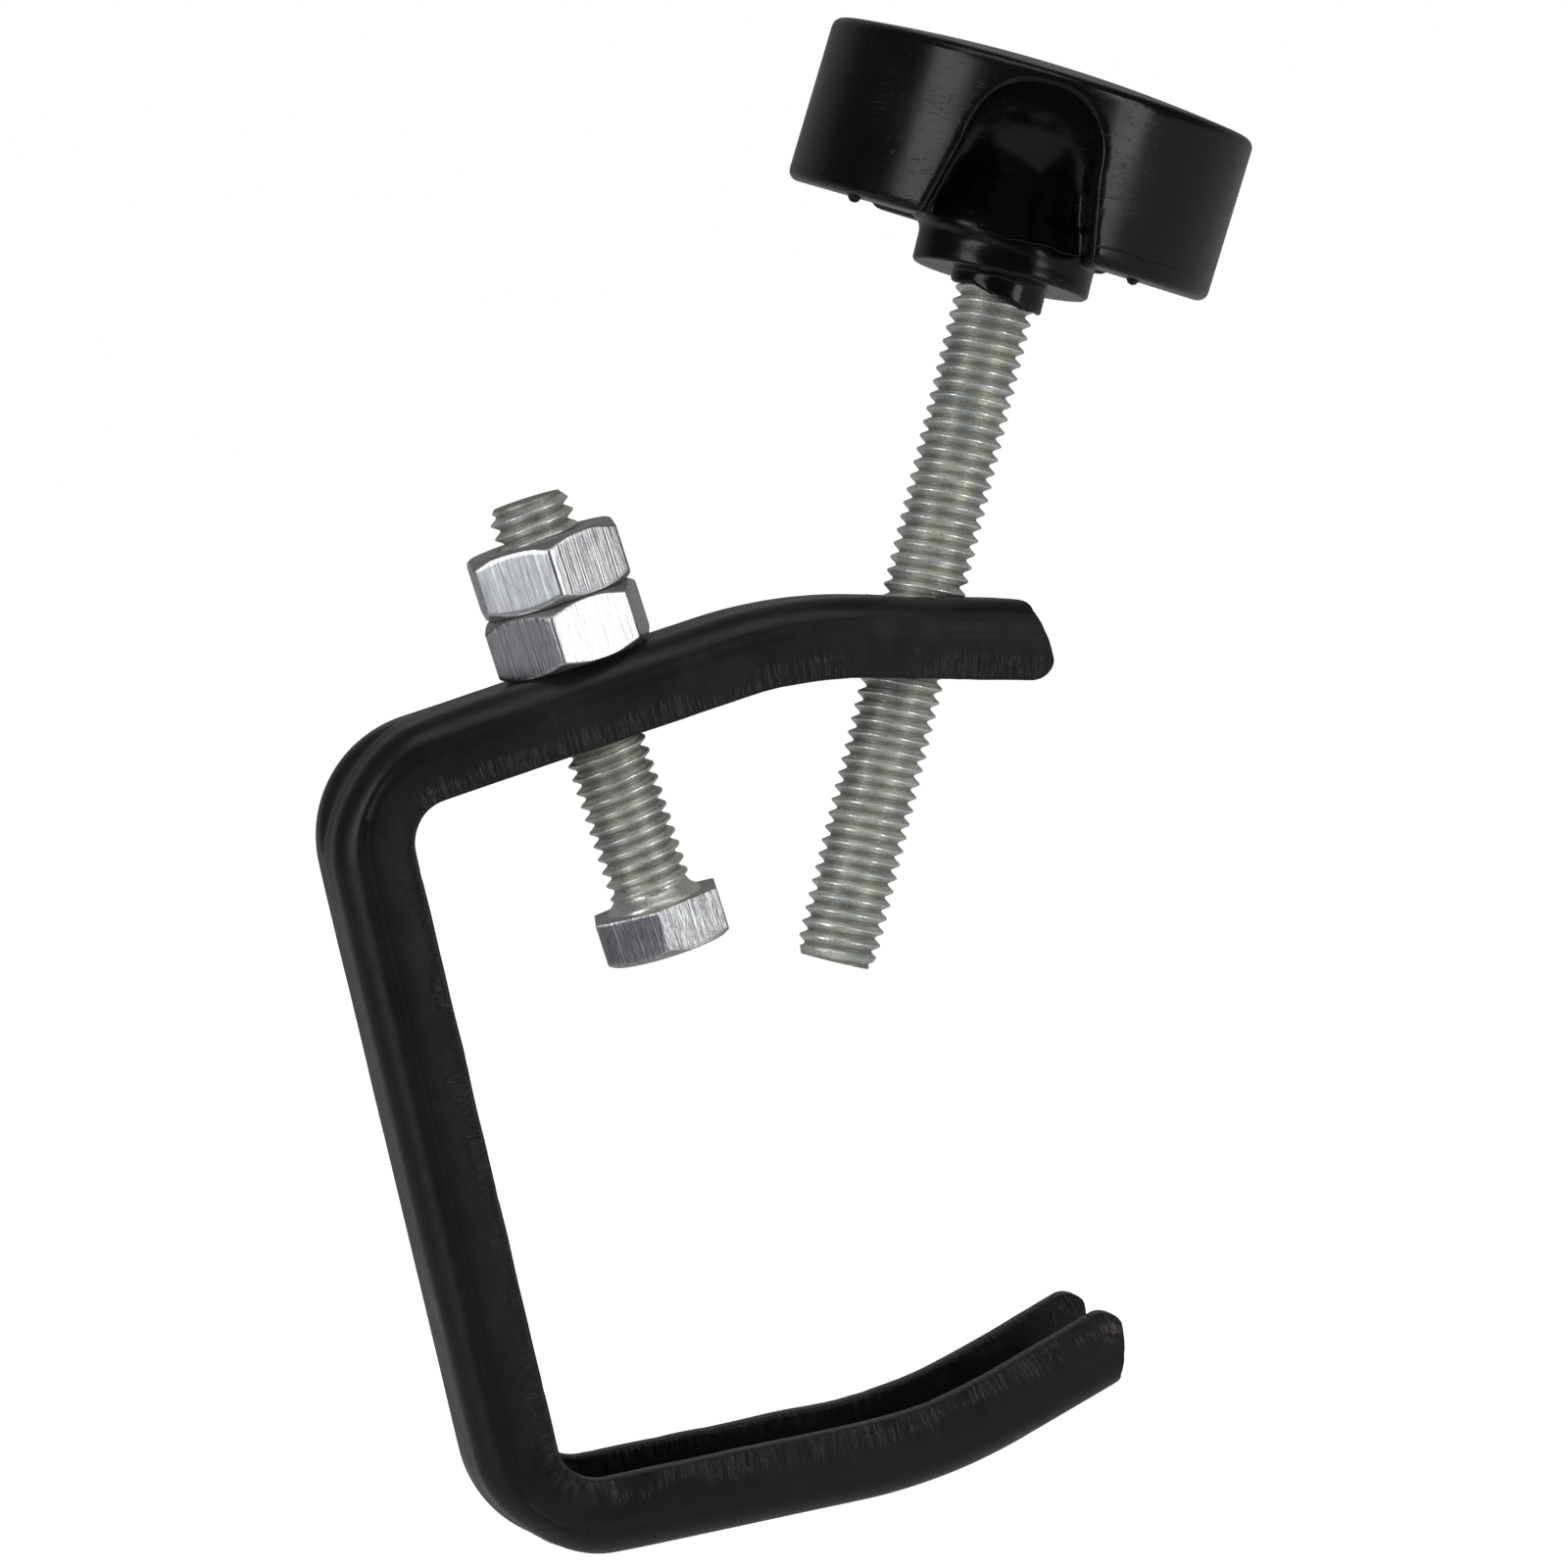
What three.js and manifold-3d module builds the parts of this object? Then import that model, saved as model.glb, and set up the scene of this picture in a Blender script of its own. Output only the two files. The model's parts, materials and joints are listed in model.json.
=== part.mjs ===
// Pipe clamp: a bent channel with a long clamp screw and knob, and a short yoke bolt with two nuts.
// Millimetres. X points out of the open side, Y across the channel, Z up along the spine.
// The origin is the axis of a 50 mm pipe that lies against the spine and the lower arm.
import * as THREE from "three";
import { mergeVertices } from "three/addons/utils/BufferGeometryUtils.js";
import Module from "manifold-3d";

const wasm = await Module();
wasm.setup();

// Reference pipe and the bent line of the flange edges that it lies against
const PIPE_RADIUS = 25;
const LOWER_SLOPE = THREE.MathUtils.degToRad(3.9);
const HOOK_RISE = THREE.MathUtils.degToRad(14.8);
const UPPER_RISE = THREE.MathUtils.degToRad(4.7);
const END_DROP = THREE.MathUtils.degToRad(14.8);
const SPINE_LENGTH = 78.1;
const LOWER_LENGTH = 42.6;
const HOOK_LENGTH = 24.1;
const UPPER_LENGTH = 47.8;
const END_LENGTH = 28.3;
const CORNER_RADIUS = 4.9;
const HOOK_BEND_RADIUS = 55;
const ARM_BEND_RADIUS = 48;
const CORNER_STEPS = 10;
const BEND_STEPS = 6;

// Channel section
const CHANNEL_WIDTH = 17.5;
const CHANNEL_DEPTH = 9.2;
const WALL = 2.5;
const SHOULDER_RADIUS = 4.2;
const EDGE_BREAK = 0.3;

// Ends of the strip, measured past the end of the bent line
const END_ALLOWANCE = 3;
const END_CORNER = 2.4;
const ARM_BULGE = 1.1;
const HOOK_SLANT = -2.4;
const HOOK_BULGE = 0.5;

// Groove that the bending leaves in the web at each corner
const GROOVE_DEPTH = 1.2;
const GROOVE_TUBE = 3;
const GROOVE_SWEEP = 28;
const GROOVE_REACH = 11;

// Threads, both of 3/8 inch, 16 to the inch, drawn as plain cylinders over the crests
const CREST_RADIUS = 4.71;
const THREAD_CLEARANCE = 0.07;
const END_CHAMFER = 0.9;
const ROUND_SEGMENTS = 40;

// Clamp screw
const SCREW_TIP = new THREE.Vector3(20.24, 0, 25.4);
const SCREW_LEAN = THREE.MathUtils.degToRad(27.2);
const SCREW_LENGTH = 96;
const SCREW_HEAD_RADIUS = 7;
const SCREW_HEAD_HEIGHT = 5.5;
const COLLAR_RADIUS = 7;
const COLLAR_DROP = 2.6;

// Knob, moulded a little askew on the screw; places along the screw are from its tip
const KNOB_RADIUS = 25;
const KNOB_RIM_START = 84.4;
const KNOB_HEIGHT = 19.2;
const KNOB_CROWN = 1.8;
const KNOB_EDGE = 1.1;
const KNOB_LEAN = THREE.MathUtils.degToRad(1.75);
const KNOB_NOD = THREE.MathUtils.degToRad(5.5);
const KNOB_SHIFT = -1.5;
const HUB_RADIUS = 10.3;
const HUB_DROP = 4.9;
const HUB_TOP = 2;
const SLEEVE_RADIUS = 5.5;
const SLEEVE_START = 76.8;
const SCOOPS = 3;
const SCOOP_HALF_WIDTH = 10;
const SCOOP_SHOULDER = 9.5;
const SCOOP_SHOULDER_WIDTH = 7.6;
const SCOOP_HEIGHT = 18;
const SCOOP_FLOOR_RISE = 7;
const SCOOP_TURN = THREE.MathUtils.degToRad(-102);

// Yoke bolt and its nuts, measured from the flange edges of the upper arm
const BOLT_ALONG_ARM = 24.9;
const HEAD_FLATS = 14.3;
const HEAD_HEIGHT = 5.6;
const HEAD_BELOW_ARM = 25.2;
const BOLT_LENGTH = 53.4;
const NECK_RADIUS = 5.6;
const NECK_HEIGHT = 1.4;
const BOLT_HOLE_RADIUS = 5.25;
const NUT_FLATS = 16.8;
const NUT_HEIGHT = 7.2;
const SEAT_GAP = 0.05;
const HEAD_TURN = THREE.MathUtils.degToRad(-101);
const LOWER_NUT_TURN = THREE.MathUtils.degToRad(-109);
const UPPER_NUT_TURN = THREE.MathUtils.degToRad(-96);

// A vector in the plane of the clamp at an angle from +X
function inPlane(angle, length = 1) {
  return new THREE.Vector3(Math.cos(angle) * length, 0, Math.sin(angle) * length);
}

// A closed three.js geometry as a solid that can be cut
function solid(geometry) {
  const plain = geometry.clone();
  plain.deleteAttribute("normal");
  plain.deleteAttribute("uv");
  const welded = mergeVertices(plain, 1e-5);
  return new wasm.Manifold(new wasm.Mesh({
    numProp: 3,
    vertProperties: new Float32Array(welded.attributes.position.array),
    triVerts: new Uint32Array(welded.index.array),
  }));
}

// A solid back as a three.js geometry
function toGeometry(body) {
  const mesh = body.getMesh();
  const geometry = new THREE.BufferGeometry();
  geometry.setAttribute("position", new THREE.BufferAttribute(new Float32Array(mesh.vertProperties), 3));
  geometry.setIndex(new THREE.BufferAttribute(new Uint32Array(mesh.triVerts), 1));
  geometry.computeVertexNormals();
  return geometry;
}

// A solid of revolution about Z from [radius, height] points that start and end on the axis
function turned(points, segments = ROUND_SEGMENTS) {
  const outline = points.map(([radius, height]) => new THREE.Vector2(radius, height));
  return new THREE.LatheGeometry(outline, segments).rotateX(Math.PI / 2);
}

// A cylinder along Z between two heights
function rod(radius, from, to, segments = ROUND_SEGMENTS) {
  return turned([[0, from], [radius, from], [radius, to], [0, to]], segments);
}

// A hexagonal prism along Z, its corner on +X, with both or only the lower edge chamfered
function hexagon(flats, from, to, chamferTop) {
  const corner = flats / Math.sqrt(3);
  const inset = flats / 2 - 0.2;
  const fall = (corner - inset) * Math.tan(THREE.MathUtils.degToRad(30));
  const prism = new THREE.CylinderGeometry(corner, corner, to - from, 6)
    .rotateX(Math.PI / 2)
    .rotateZ(Math.PI / 2)
    .translate(0, 0, (from + to) / 2);
  const top = chamferTop
    ? [[corner + 0.01, to - fall], [inset, to]]
    : [[corner + 0.01, to]];
  const cone = turned([[0, from], [inset, from], [corner + 0.01, from + fall], ...top, [0, to]], 48);
  return solid(prism).intersect(solid(cone));
}

// Points and directions along a bent line of straight runs and round corners
class BentLine extends THREE.Curve {
  constructor(corners, radii, steps) {
    super();
    this.stations = [];
    corners.forEach((corner, i) => {
      const before = corners[i - 1];
      const after = corners[i + 1];
      if (!before || !after) {
        const direction = before
          ? corner.clone().sub(before).normalize()
          : after.clone().sub(corner).normalize();
        this.stations.push({ point: corner, direction });
        return;
      }
      this.addCorner(before, corner, after, radii[i - 1], steps[i - 1]);
    });
  }

  addCorner(before, corner, after, radius, steps) {
    const into = corner.clone().sub(before).normalize();
    const out = after.clone().sub(corner).normalize();
    const bend = into.angleTo(out);
    const start = corner.clone().addScaledVector(into, -radius * Math.tan(bend / 2));
    const inward = out.clone().addScaledVector(into, -out.dot(into)).normalize();
    const centre = start.clone().addScaledVector(inward, radius);
    for (let k = 0; k <= steps; k += 1) {
      const angle = bend * k / steps;
      const direction = into.clone().multiplyScalar(Math.cos(angle)).addScaledVector(inward, Math.sin(angle));
      const spoke = into.clone().multiplyScalar(Math.sin(angle)).addScaledVector(inward, -Math.cos(angle));
      this.stations.push({ point: centre.clone().addScaledVector(spoke, radius), direction });
    }
  }

  at(u) {
    return this.stations[Math.round(u * (this.stations.length - 1))];
  }

  getPointAt(u, target = new THREE.Vector3()) {
    return target.copy(this.at(u).point);
  }

  getTangentAt(u, target = new THREE.Vector3()) {
    return target.copy(this.at(u).direction);
  }
}

// Corners of the flange edges' line, from the hook's tip round to the end of the upper arm
const lowerCorner = new THREE.Vector3(
  -PIPE_RADIUS, 0, -PIPE_RADIUS * (1 - Math.sin(LOWER_SLOPE)) / Math.cos(LOWER_SLOPE),
);
const upperCorner = lowerCorner.clone().add(new THREE.Vector3(0, 0, SPINE_LENGTH));
const hookBend = lowerCorner.clone().add(inPlane(-LOWER_SLOPE, LOWER_LENGTH));
const hookEnd = hookBend.clone().add(inPlane(HOOK_RISE, HOOK_LENGTH));
const armBend = upperCorner.clone().add(inPlane(UPPER_RISE, UPPER_LENGTH));
const armEnd = armBend.clone().add(inPlane(-END_DROP, END_LENGTH));

// The channel's section: x across, y from the flange edges towards the throat
function channelSection() {
  const half = CHANNEL_WIDTH / 2;
  const inner = half - WALL;
  const turn = SHOULDER_RADIUS - WALL;
  const shape = new THREE.Shape();
  shape.moveTo(inner + EDGE_BREAK, 0);
  shape.lineTo(half - EDGE_BREAK, 0);
  shape.lineTo(half, -EDGE_BREAK);
  shape.lineTo(half, -CHANNEL_DEPTH + SHOULDER_RADIUS);
  shape.absarc(half - SHOULDER_RADIUS, -CHANNEL_DEPTH + SHOULDER_RADIUS, SHOULDER_RADIUS, 0, -Math.PI / 2, true);
  shape.lineTo(-half + SHOULDER_RADIUS, -CHANNEL_DEPTH);
  shape.absarc(
    -half + SHOULDER_RADIUS, -CHANNEL_DEPTH + SHOULDER_RADIUS, SHOULDER_RADIUS, -Math.PI / 2, -Math.PI, true,
  );
  shape.lineTo(-half, -EDGE_BREAK);
  shape.lineTo(-half + EDGE_BREAK, 0);
  shape.lineTo(-inner - EDGE_BREAK, 0);
  shape.lineTo(-inner, -EDGE_BREAK);
  shape.lineTo(-inner, -CHANNEL_DEPTH + WALL + turn);
  shape.absarc(-inner + turn, -CHANNEL_DEPTH + WALL + turn, turn, Math.PI, Math.PI * 1.5, false);
  shape.lineTo(inner - turn, -CHANNEL_DEPTH + WALL);
  shape.absarc(inner - turn, -CHANNEL_DEPTH + WALL + turn, turn, -Math.PI / 2, 0, false);
  shape.lineTo(inner, -EDGE_BREAK);
  shape.closePath();
  return shape;
}

// What is cut off past a rounded end: x along the strip, y from the flange edges outwards
function endCutter(slant, bulge) {
  const shape = new THREE.Shape();
  const far = END_ALLOWANCE + 4;
  shape.moveTo(-END_CORNER, -2);
  shape.lineTo(-END_CORNER, 0);
  shape.quadraticCurveTo(0, 0, bulge * 0.8, END_CORNER);
  shape.quadraticCurveTo(
    slant / 2 + bulge * 1.4, CHANNEL_DEPTH / 2, slant + bulge * 0.2, CHANNEL_DEPTH - END_CORNER / 2,
  );
  shape.quadraticCurveTo(slant, CHANNEL_DEPTH, slant - END_CORNER / 2, CHANNEL_DEPTH);
  shape.lineTo(slant - END_CORNER / 2, CHANNEL_DEPTH + 2);
  shape.lineTo(far, CHANNEL_DEPTH + 2);
  shape.lineTo(far, -2);
  shape.closePath();
  const depth = CHANNEL_WIDTH + 4;
  return new THREE.ExtrudeGeometry(shape, { depth, bevelEnabled: false, curveSegments: 6 })
    .translate(0, 0, -depth / 2);
}

// Turns a cutter so that its x runs along a direction in the plane and its y outwards
function placeInPlane(geometry, point, along, outward) {
  const across = new THREE.Vector3().crossVectors(along, outward);
  const matrix = new THREE.Matrix4().makeBasis(along, outward, across).setPosition(point);
  return geometry.applyMatrix4(matrix);
}

// The groove in the web round a corner whose inner radius has its centre at a point
function cornerGroove(centre, outward) {
  const outerRadius = CORNER_RADIUS + CHANNEL_DEPTH;
  const ringCentre = centre.clone().addScaledVector(outward, outerRadius - GROOVE_DEPTH - GROOVE_SWEEP);
  const ring = new THREE.TorusGeometry(GROOVE_SWEEP + GROOVE_TUBE, GROOVE_TUBE, 16, 96)
    .rotateX(Math.PI / 2)
    .translate(ringCentre.x, 0, ringCentre.z);
  const middle = centre.clone().addScaledVector(outward, outerRadius);
  const near = new THREE.SphereGeometry(GROOVE_REACH, 24, 16).translate(middle.x, 0, middle.z);
  return solid(ring).intersect(solid(near));
}

// The centre of a corner's inner arc, given the two runs that meet there
function arcCentre(corner, one, other) {
  const half = one.angleTo(other) / 2;
  const bisector = one.clone().add(other).normalize();
  return corner.clone().addScaledVector(bisector, CORNER_RADIUS / Math.sin(half));
}

// Clamp screw's line
const screwAxis = inPlane(Math.PI / 2 - SCREW_LEAN);
const screwTurn = new THREE.Euler(0, SCREW_LEAN, 0);

// Yoke bolt's line, square to the upper arm
const boltAxis = inPlane(Math.PI / 2 + UPPER_RISE);
const boltFoot = upperCorner.clone().add(inPlane(UPPER_RISE, BOLT_ALONG_ARM));
const boltTurn = new THREE.Euler(0, -UPPER_RISE, 0);

// A solid made along Z, moved onto the clamp screw's or the yoke bolt's line
function onLine(geometry, start, euler) {
  return geometry
    .applyMatrix4(new THREE.Matrix4().makeRotationFromEuler(euler))
    .translate(start.x, start.y, start.z);
}

function clampBody() {
  const runs = [hookEnd, hookBend, lowerCorner, upperCorner, armBend, armEnd];
  const tip = hookEnd.clone().add(inPlane(HOOK_RISE, END_ALLOWANCE));
  const end = armEnd.clone().add(inPlane(-END_DROP, END_ALLOWANCE));
  const line = new BentLine(
    [tip, ...runs.slice(1, -1), end],
    [HOOK_BEND_RADIUS, CORNER_RADIUS, CORNER_RADIUS, ARM_BEND_RADIUS],
    [BEND_STEPS, CORNER_STEPS, CORNER_STEPS, BEND_STEPS],
  );
  const sweep = new THREE.ExtrudeGeometry(channelSection(), {
    steps: line.stations.length - 1,
    extrudePath: line,
    curveSegments: 6,
  });
  let body = solid(sweep);

  const up = new THREE.Vector3(0, 0, 1);
  const lowerArc = arcCentre(lowerCorner, up, inPlane(-LOWER_SLOPE));
  const upperArc = arcCentre(upperCorner, up.clone().negate(), inPlane(UPPER_RISE));
  body = body.subtract(cornerGroove(lowerArc, inPlane(-Math.PI * 0.75)));
  body = body.subtract(cornerGroove(upperArc, inPlane(Math.PI * 0.75)));

  const hookCut = placeInPlane(
    endCutter(HOOK_SLANT, HOOK_BULGE), hookEnd, inPlane(HOOK_RISE), inPlane(HOOK_RISE - Math.PI / 2),
  );
  const armCut = placeInPlane(
    endCutter(0, ARM_BULGE), armEnd, inPlane(-END_DROP), inPlane(Math.PI / 2 - END_DROP),
  );
  body = body.subtract(solid(hookCut)).subtract(solid(armCut));

  // The drawn collar round the tapped hole stands inside the channel
  const outerWeb = new THREE.Plane().setFromNormalAndCoplanarPoint(
    inPlane(Math.PI / 2 - END_DROP), armEnd.clone().add(inPlane(Math.PI / 2 - END_DROP, CHANNEL_DEPTH)),
  );
  const tilt = outerWeb.normal.dot(screwAxis);
  const webOuter = -outerWeb.distanceToPoint(SCREW_TIP) / tilt;
  const webInner = webOuter - WALL / tilt;
  const collar = rod(COLLAR_RADIUS - 0.5, webInner - COLLAR_DROP, webInner + WALL / 2);
  body = body.add(solid(onLine(collar, SCREW_TIP, screwTurn)));
  const tapped = rod(CREST_RADIUS + THREAD_CLEARANCE, webInner - COLLAR_DROP - 4, webOuter + 6);
  body = body.subtract(solid(onLine(tapped, SCREW_TIP, screwTurn)));
  const boltHole = rod(BOLT_HOLE_RADIUS, CHANNEL_DEPTH - WALL - 3, CHANNEL_DEPTH + 3);
  return toGeometry(body.subtract(solid(onLine(boltHole, boltFoot, boltTurn))));
}

// The screw stands on its tip along Z, with its round head inside the knob
function clampScrew() {
  return turned([
    [0, 0],
    [CREST_RADIUS - END_CHAMFER, 0],
    [CREST_RADIUS, END_CHAMFER],
    [CREST_RADIUS, SCREW_LENGTH - SCREW_HEAD_HEIGHT],
    [SCREW_HEAD_RADIUS, SCREW_LENGTH - SCREW_HEAD_HEIGHT],
    [SCREW_HEAD_RADIUS, SCREW_LENGTH],
    [0, SCREW_LENGTH],
  ]);
}

// One finger hollow, open below and outwards, that leaves the hub standing
function scoop() {
  const arch = new THREE.Shape();
  arch.moveTo(-SCOOP_HALF_WIDTH, -1);
  arch.lineTo(SCOOP_HALF_WIDTH, -1);
  arch.lineTo(SCOOP_SHOULDER_WIDTH, SCOOP_SHOULDER);
  arch.bezierCurveTo(
    SCOOP_SHOULDER_WIDTH - 0.9, SCOOP_SHOULDER + 4,
    SCOOP_SHOULDER_WIDTH * 0.55, SCOOP_HEIGHT, 0, SCOOP_HEIGHT,
  );
  arch.bezierCurveTo(
    -SCOOP_SHOULDER_WIDTH * 0.55, SCOOP_HEIGHT,
    -SCOOP_SHOULDER_WIDTH + 0.9, SCOOP_SHOULDER + 4, -SCOOP_SHOULDER_WIDTH, SCOOP_SHOULDER,
  );
  arch.closePath();
  const wedge = new THREE.ExtrudeGeometry(arch, {
    depth: KNOB_RADIUS + 4, bevelEnabled: false, curveSegments: 8,
  })
    .rotateX(Math.PI / 2)
    .rotateZ(Math.PI / 2);
  const floor = [];
  const steps = 8;
  for (let k = 0; k <= steps; k += 1) {
    const angle = (Math.PI / 2) * (k / steps);
    floor.push([
      KNOB_RADIUS + 6 - (KNOB_RADIUS + 6 - HUB_RADIUS) * Math.cos(angle),
      SCOOP_FLOOR_RISE + (SCOOP_HEIGHT + 1 - SCOOP_FLOOR_RISE) * Math.sin(angle),
    ]);
  }
  const core = turned([
    [0, -2],
    [HUB_RADIUS, -2],
    ...floor,
    [0, SCOOP_HEIGHT + 1],
  ]);
  return solid(wedge).subtract(solid(core));
}

// The knob is made along Z with its rim starting at zero; only its sleeve and bore are true to the screw
function knob() {
  const flat = KNOB_RADIUS - KNOB_EDGE;
  const crown = [0.75, 0.5, 0.25, 0].map((share) => [
    flat * share, KNOB_HEIGHT + KNOB_CROWN * (1 - share ** 2),
  ]);
  let body = solid(turned([
    [0, 0],
    [KNOB_RADIUS - KNOB_EDGE / 2, 0],
    [KNOB_RADIUS, KNOB_EDGE / 2],
    [KNOB_RADIUS, KNOB_HEIGHT - KNOB_EDGE],
    [KNOB_RADIUS - KNOB_EDGE * 0.3, KNOB_HEIGHT - KNOB_EDGE * 0.3],
    [flat, KNOB_HEIGHT],
    ...crown,
  ], 72));
  const hollow = scoop();
  for (let k = 0; k < SCOOPS; k += 1) {
    const turn = THREE.MathUtils.radToDeg(SCOOP_TURN) + 360 * k / SCOOPS;
    body = body.subtract(hollow.rotate([0, 0, turn]));
  }
  // The hub stands under the rim, moved back over the screw
  const hub = solid(turned([
    [0, -HUB_DROP],
    [HUB_RADIUS - 0.6, -HUB_DROP],
    [HUB_RADIUS, -HUB_DROP + 0.6],
    [HUB_RADIUS, HUB_TOP],
    [0, HUB_TOP],
  ], 48));
  body = body.add(hub.translate([-KNOB_SHIFT, 0, 0]));
  const { radToDeg } = THREE.MathUtils;
  body = body.rotate([radToDeg(KNOB_NOD), radToDeg(KNOB_LEAN), 0]).translate([KNOB_SHIFT, 0, 0]);
  const sleeve = SLEEVE_START - KNOB_RIM_START;
  body = body.add(solid(rod(SLEEVE_RADIUS, sleeve, 2)));
  const head = SCREW_LENGTH - SCREW_HEAD_HEIGHT - KNOB_RIM_START;
  const bore = turned([
    [0, sleeve - 1],
    [CREST_RADIUS + THREAD_CLEARANCE, sleeve - 1],
    [CREST_RADIUS + THREAD_CLEARANCE, head - THREAD_CLEARANCE],
    [SCREW_HEAD_RADIUS + THREAD_CLEARANCE, head - THREAD_CLEARANCE],
    [SCREW_HEAD_RADIUS + THREAD_CLEARANCE, head + SCREW_HEAD_HEIGHT + THREAD_CLEARANCE],
    [0, head + SCREW_HEAD_HEIGHT + THREAD_CLEARANCE],
  ]);
  return toGeometry(body.subtract(solid(bore)));
}

// The bolt is made along Z with the flange edges of the arm at zero
function yokeBolt() {
  const face = -HEAD_BELOW_ARM;
  const seat = face + HEAD_HEIGHT;
  const end = face + BOLT_LENGTH;
  const shank = turned([
    [0, face + HEAD_HEIGHT / 2],
    [NECK_RADIUS, face + HEAD_HEIGHT / 2],
    [NECK_RADIUS, seat],
    [CREST_RADIUS, seat + NECK_HEIGHT],
    [CREST_RADIUS, end - END_CHAMFER],
    [CREST_RADIUS - END_CHAMFER, end],
    [0, end],
  ]);
  return toGeometry(hexagon(HEAD_FLATS, face, seat, false).add(solid(shank)));
}

// A nut made along Z from zero
function nut() {
  const bore = rod(CREST_RADIUS + THREAD_CLEARANCE, -1, NUT_HEIGHT + 1);
  return toGeometry(hexagon(NUT_FLATS, 0, NUT_HEIGHT, true).subtract(solid(bore)));
}

function piece(name, geometry, color, roughness, metalness) {
  const mesh = new THREE.Mesh(geometry, new THREE.MeshStandardMaterial({ color, roughness, metalness }));
  mesh.name = name;
  return mesh;
}

const part = new THREE.Group();
part.name = "pipe_clamp";

part.add(piece("clamp_body", clampBody(), 0x17171a, 0.5, 0.1));

const screwGroup = new THREE.Group();
screwGroup.position.copy(SCREW_TIP);
screwGroup.rotation.copy(screwTurn);
screwGroup.add(piece("clamp_screw", clampScrew(), 0xa9aca0, 0.35, 0.9));
const knobMesh = piece("knob", knob(), 0x121214, 0.35, 0);
knobMesh.position.z = KNOB_RIM_START;
screwGroup.add(knobMesh);
part.add(screwGroup);

const boltGroup = new THREE.Group();
boltGroup.position.copy(boltFoot);
boltGroup.rotation.copy(boltTurn);
const boltMesh = piece("yoke_bolt", yokeBolt(), 0xb4b6b0, 0.32, 0.9);
boltMesh.rotation.z = HEAD_TURN;
boltGroup.add(boltMesh);
const lowerNut = piece("lower_nut", nut(), 0xb9bcc0, 0.28, 0.9);
lowerNut.position.z = CHANNEL_DEPTH + SEAT_GAP;
lowerNut.rotation.z = LOWER_NUT_TURN;
boltGroup.add(lowerNut);
const upperNut = piece("upper_nut", nut(), 0xb9bcc0, 0.28, 0.9);
upperNut.position.z = CHANNEL_DEPTH + NUT_HEIGHT + 2 * SEAT_GAP;
upperNut.rotation.z = UPPER_NUT_TURN;
boltGroup.add(upperNut);
part.add(boltGroup);

export default part;
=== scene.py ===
"""Pipe clamp for hanging stage equipment.

A bent painted channel, a clamp screw with its knob, and a yoke bolt with two nuts.
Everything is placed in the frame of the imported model, in metres. Lengths inside the builders are in
millimetres.
"""
import json
import math

import bmesh
import bpy
import numpy as np
from mathutils import Euler, Matrix, Vector, noise


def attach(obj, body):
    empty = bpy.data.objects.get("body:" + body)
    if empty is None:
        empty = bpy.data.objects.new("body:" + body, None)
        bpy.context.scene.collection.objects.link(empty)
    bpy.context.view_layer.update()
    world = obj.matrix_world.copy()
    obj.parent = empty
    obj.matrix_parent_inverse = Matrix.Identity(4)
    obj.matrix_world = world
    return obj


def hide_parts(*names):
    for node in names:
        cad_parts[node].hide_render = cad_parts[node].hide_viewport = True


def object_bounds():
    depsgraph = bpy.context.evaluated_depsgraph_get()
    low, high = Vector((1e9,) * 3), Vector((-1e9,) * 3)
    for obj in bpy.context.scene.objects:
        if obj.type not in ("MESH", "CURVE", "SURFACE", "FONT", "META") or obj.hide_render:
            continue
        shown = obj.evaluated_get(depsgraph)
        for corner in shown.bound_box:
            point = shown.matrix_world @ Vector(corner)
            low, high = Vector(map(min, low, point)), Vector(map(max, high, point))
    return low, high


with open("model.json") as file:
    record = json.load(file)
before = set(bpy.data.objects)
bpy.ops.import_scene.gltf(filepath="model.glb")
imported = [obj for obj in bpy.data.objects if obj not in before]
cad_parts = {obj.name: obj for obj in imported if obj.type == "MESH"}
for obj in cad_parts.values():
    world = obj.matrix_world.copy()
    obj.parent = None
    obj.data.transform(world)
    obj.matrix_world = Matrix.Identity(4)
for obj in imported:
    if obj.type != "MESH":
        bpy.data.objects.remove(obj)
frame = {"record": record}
CAD_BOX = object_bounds()

bl_info = {
    "name": "Pipe clamp",
    "version": (1, 0, 0),
    "blender": (4, 5, 0),
    "location": "View3D > Sidebar > Pipe clamp",
    "description": "Builds a pipe clamp with its screw, knob, yoke bolt and nuts",
    "category": "Object",
}

MM = 0.001
JOINTS = {joint["name"]: joint for joint in frame["record"]["behaviour"]["joints"]}

# Lines of the two screws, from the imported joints
SCREW_TIP = Vector(JOINTS["knob_turn"]["pos_m"]) / MM
SCREW_AXIS = -Vector(JOINTS["knob_turn"]["axis"]).normalized()
BOLT_AXIS = Vector(JOINTS["bolt_lift"]["axis"]).normalized()


# ---------------------------------------------------------------- sizes and colours

def length(name, default, description):
    """A length in millimetres as a Blender property in metres."""
    return bpy.props.FloatProperty(
        name=name, description=description, default=default * MM,
        unit="LENGTH", subtype="DISTANCE", precision=5,
    )


def angle(name, default, description):
    """An angle in degrees as a Blender property."""
    return bpy.props.FloatProperty(
        name=name, description=description, default=math.radians(default), unit="ROTATION", subtype="ANGLE",
    )


def colour(name, default, description):
    """A linear colour as a Blender property."""
    return bpy.props.FloatVectorProperty(
        name=name, description=description, default=default, subtype="COLOR", size=3, min=0.0, max=1.0,
    )


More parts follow.
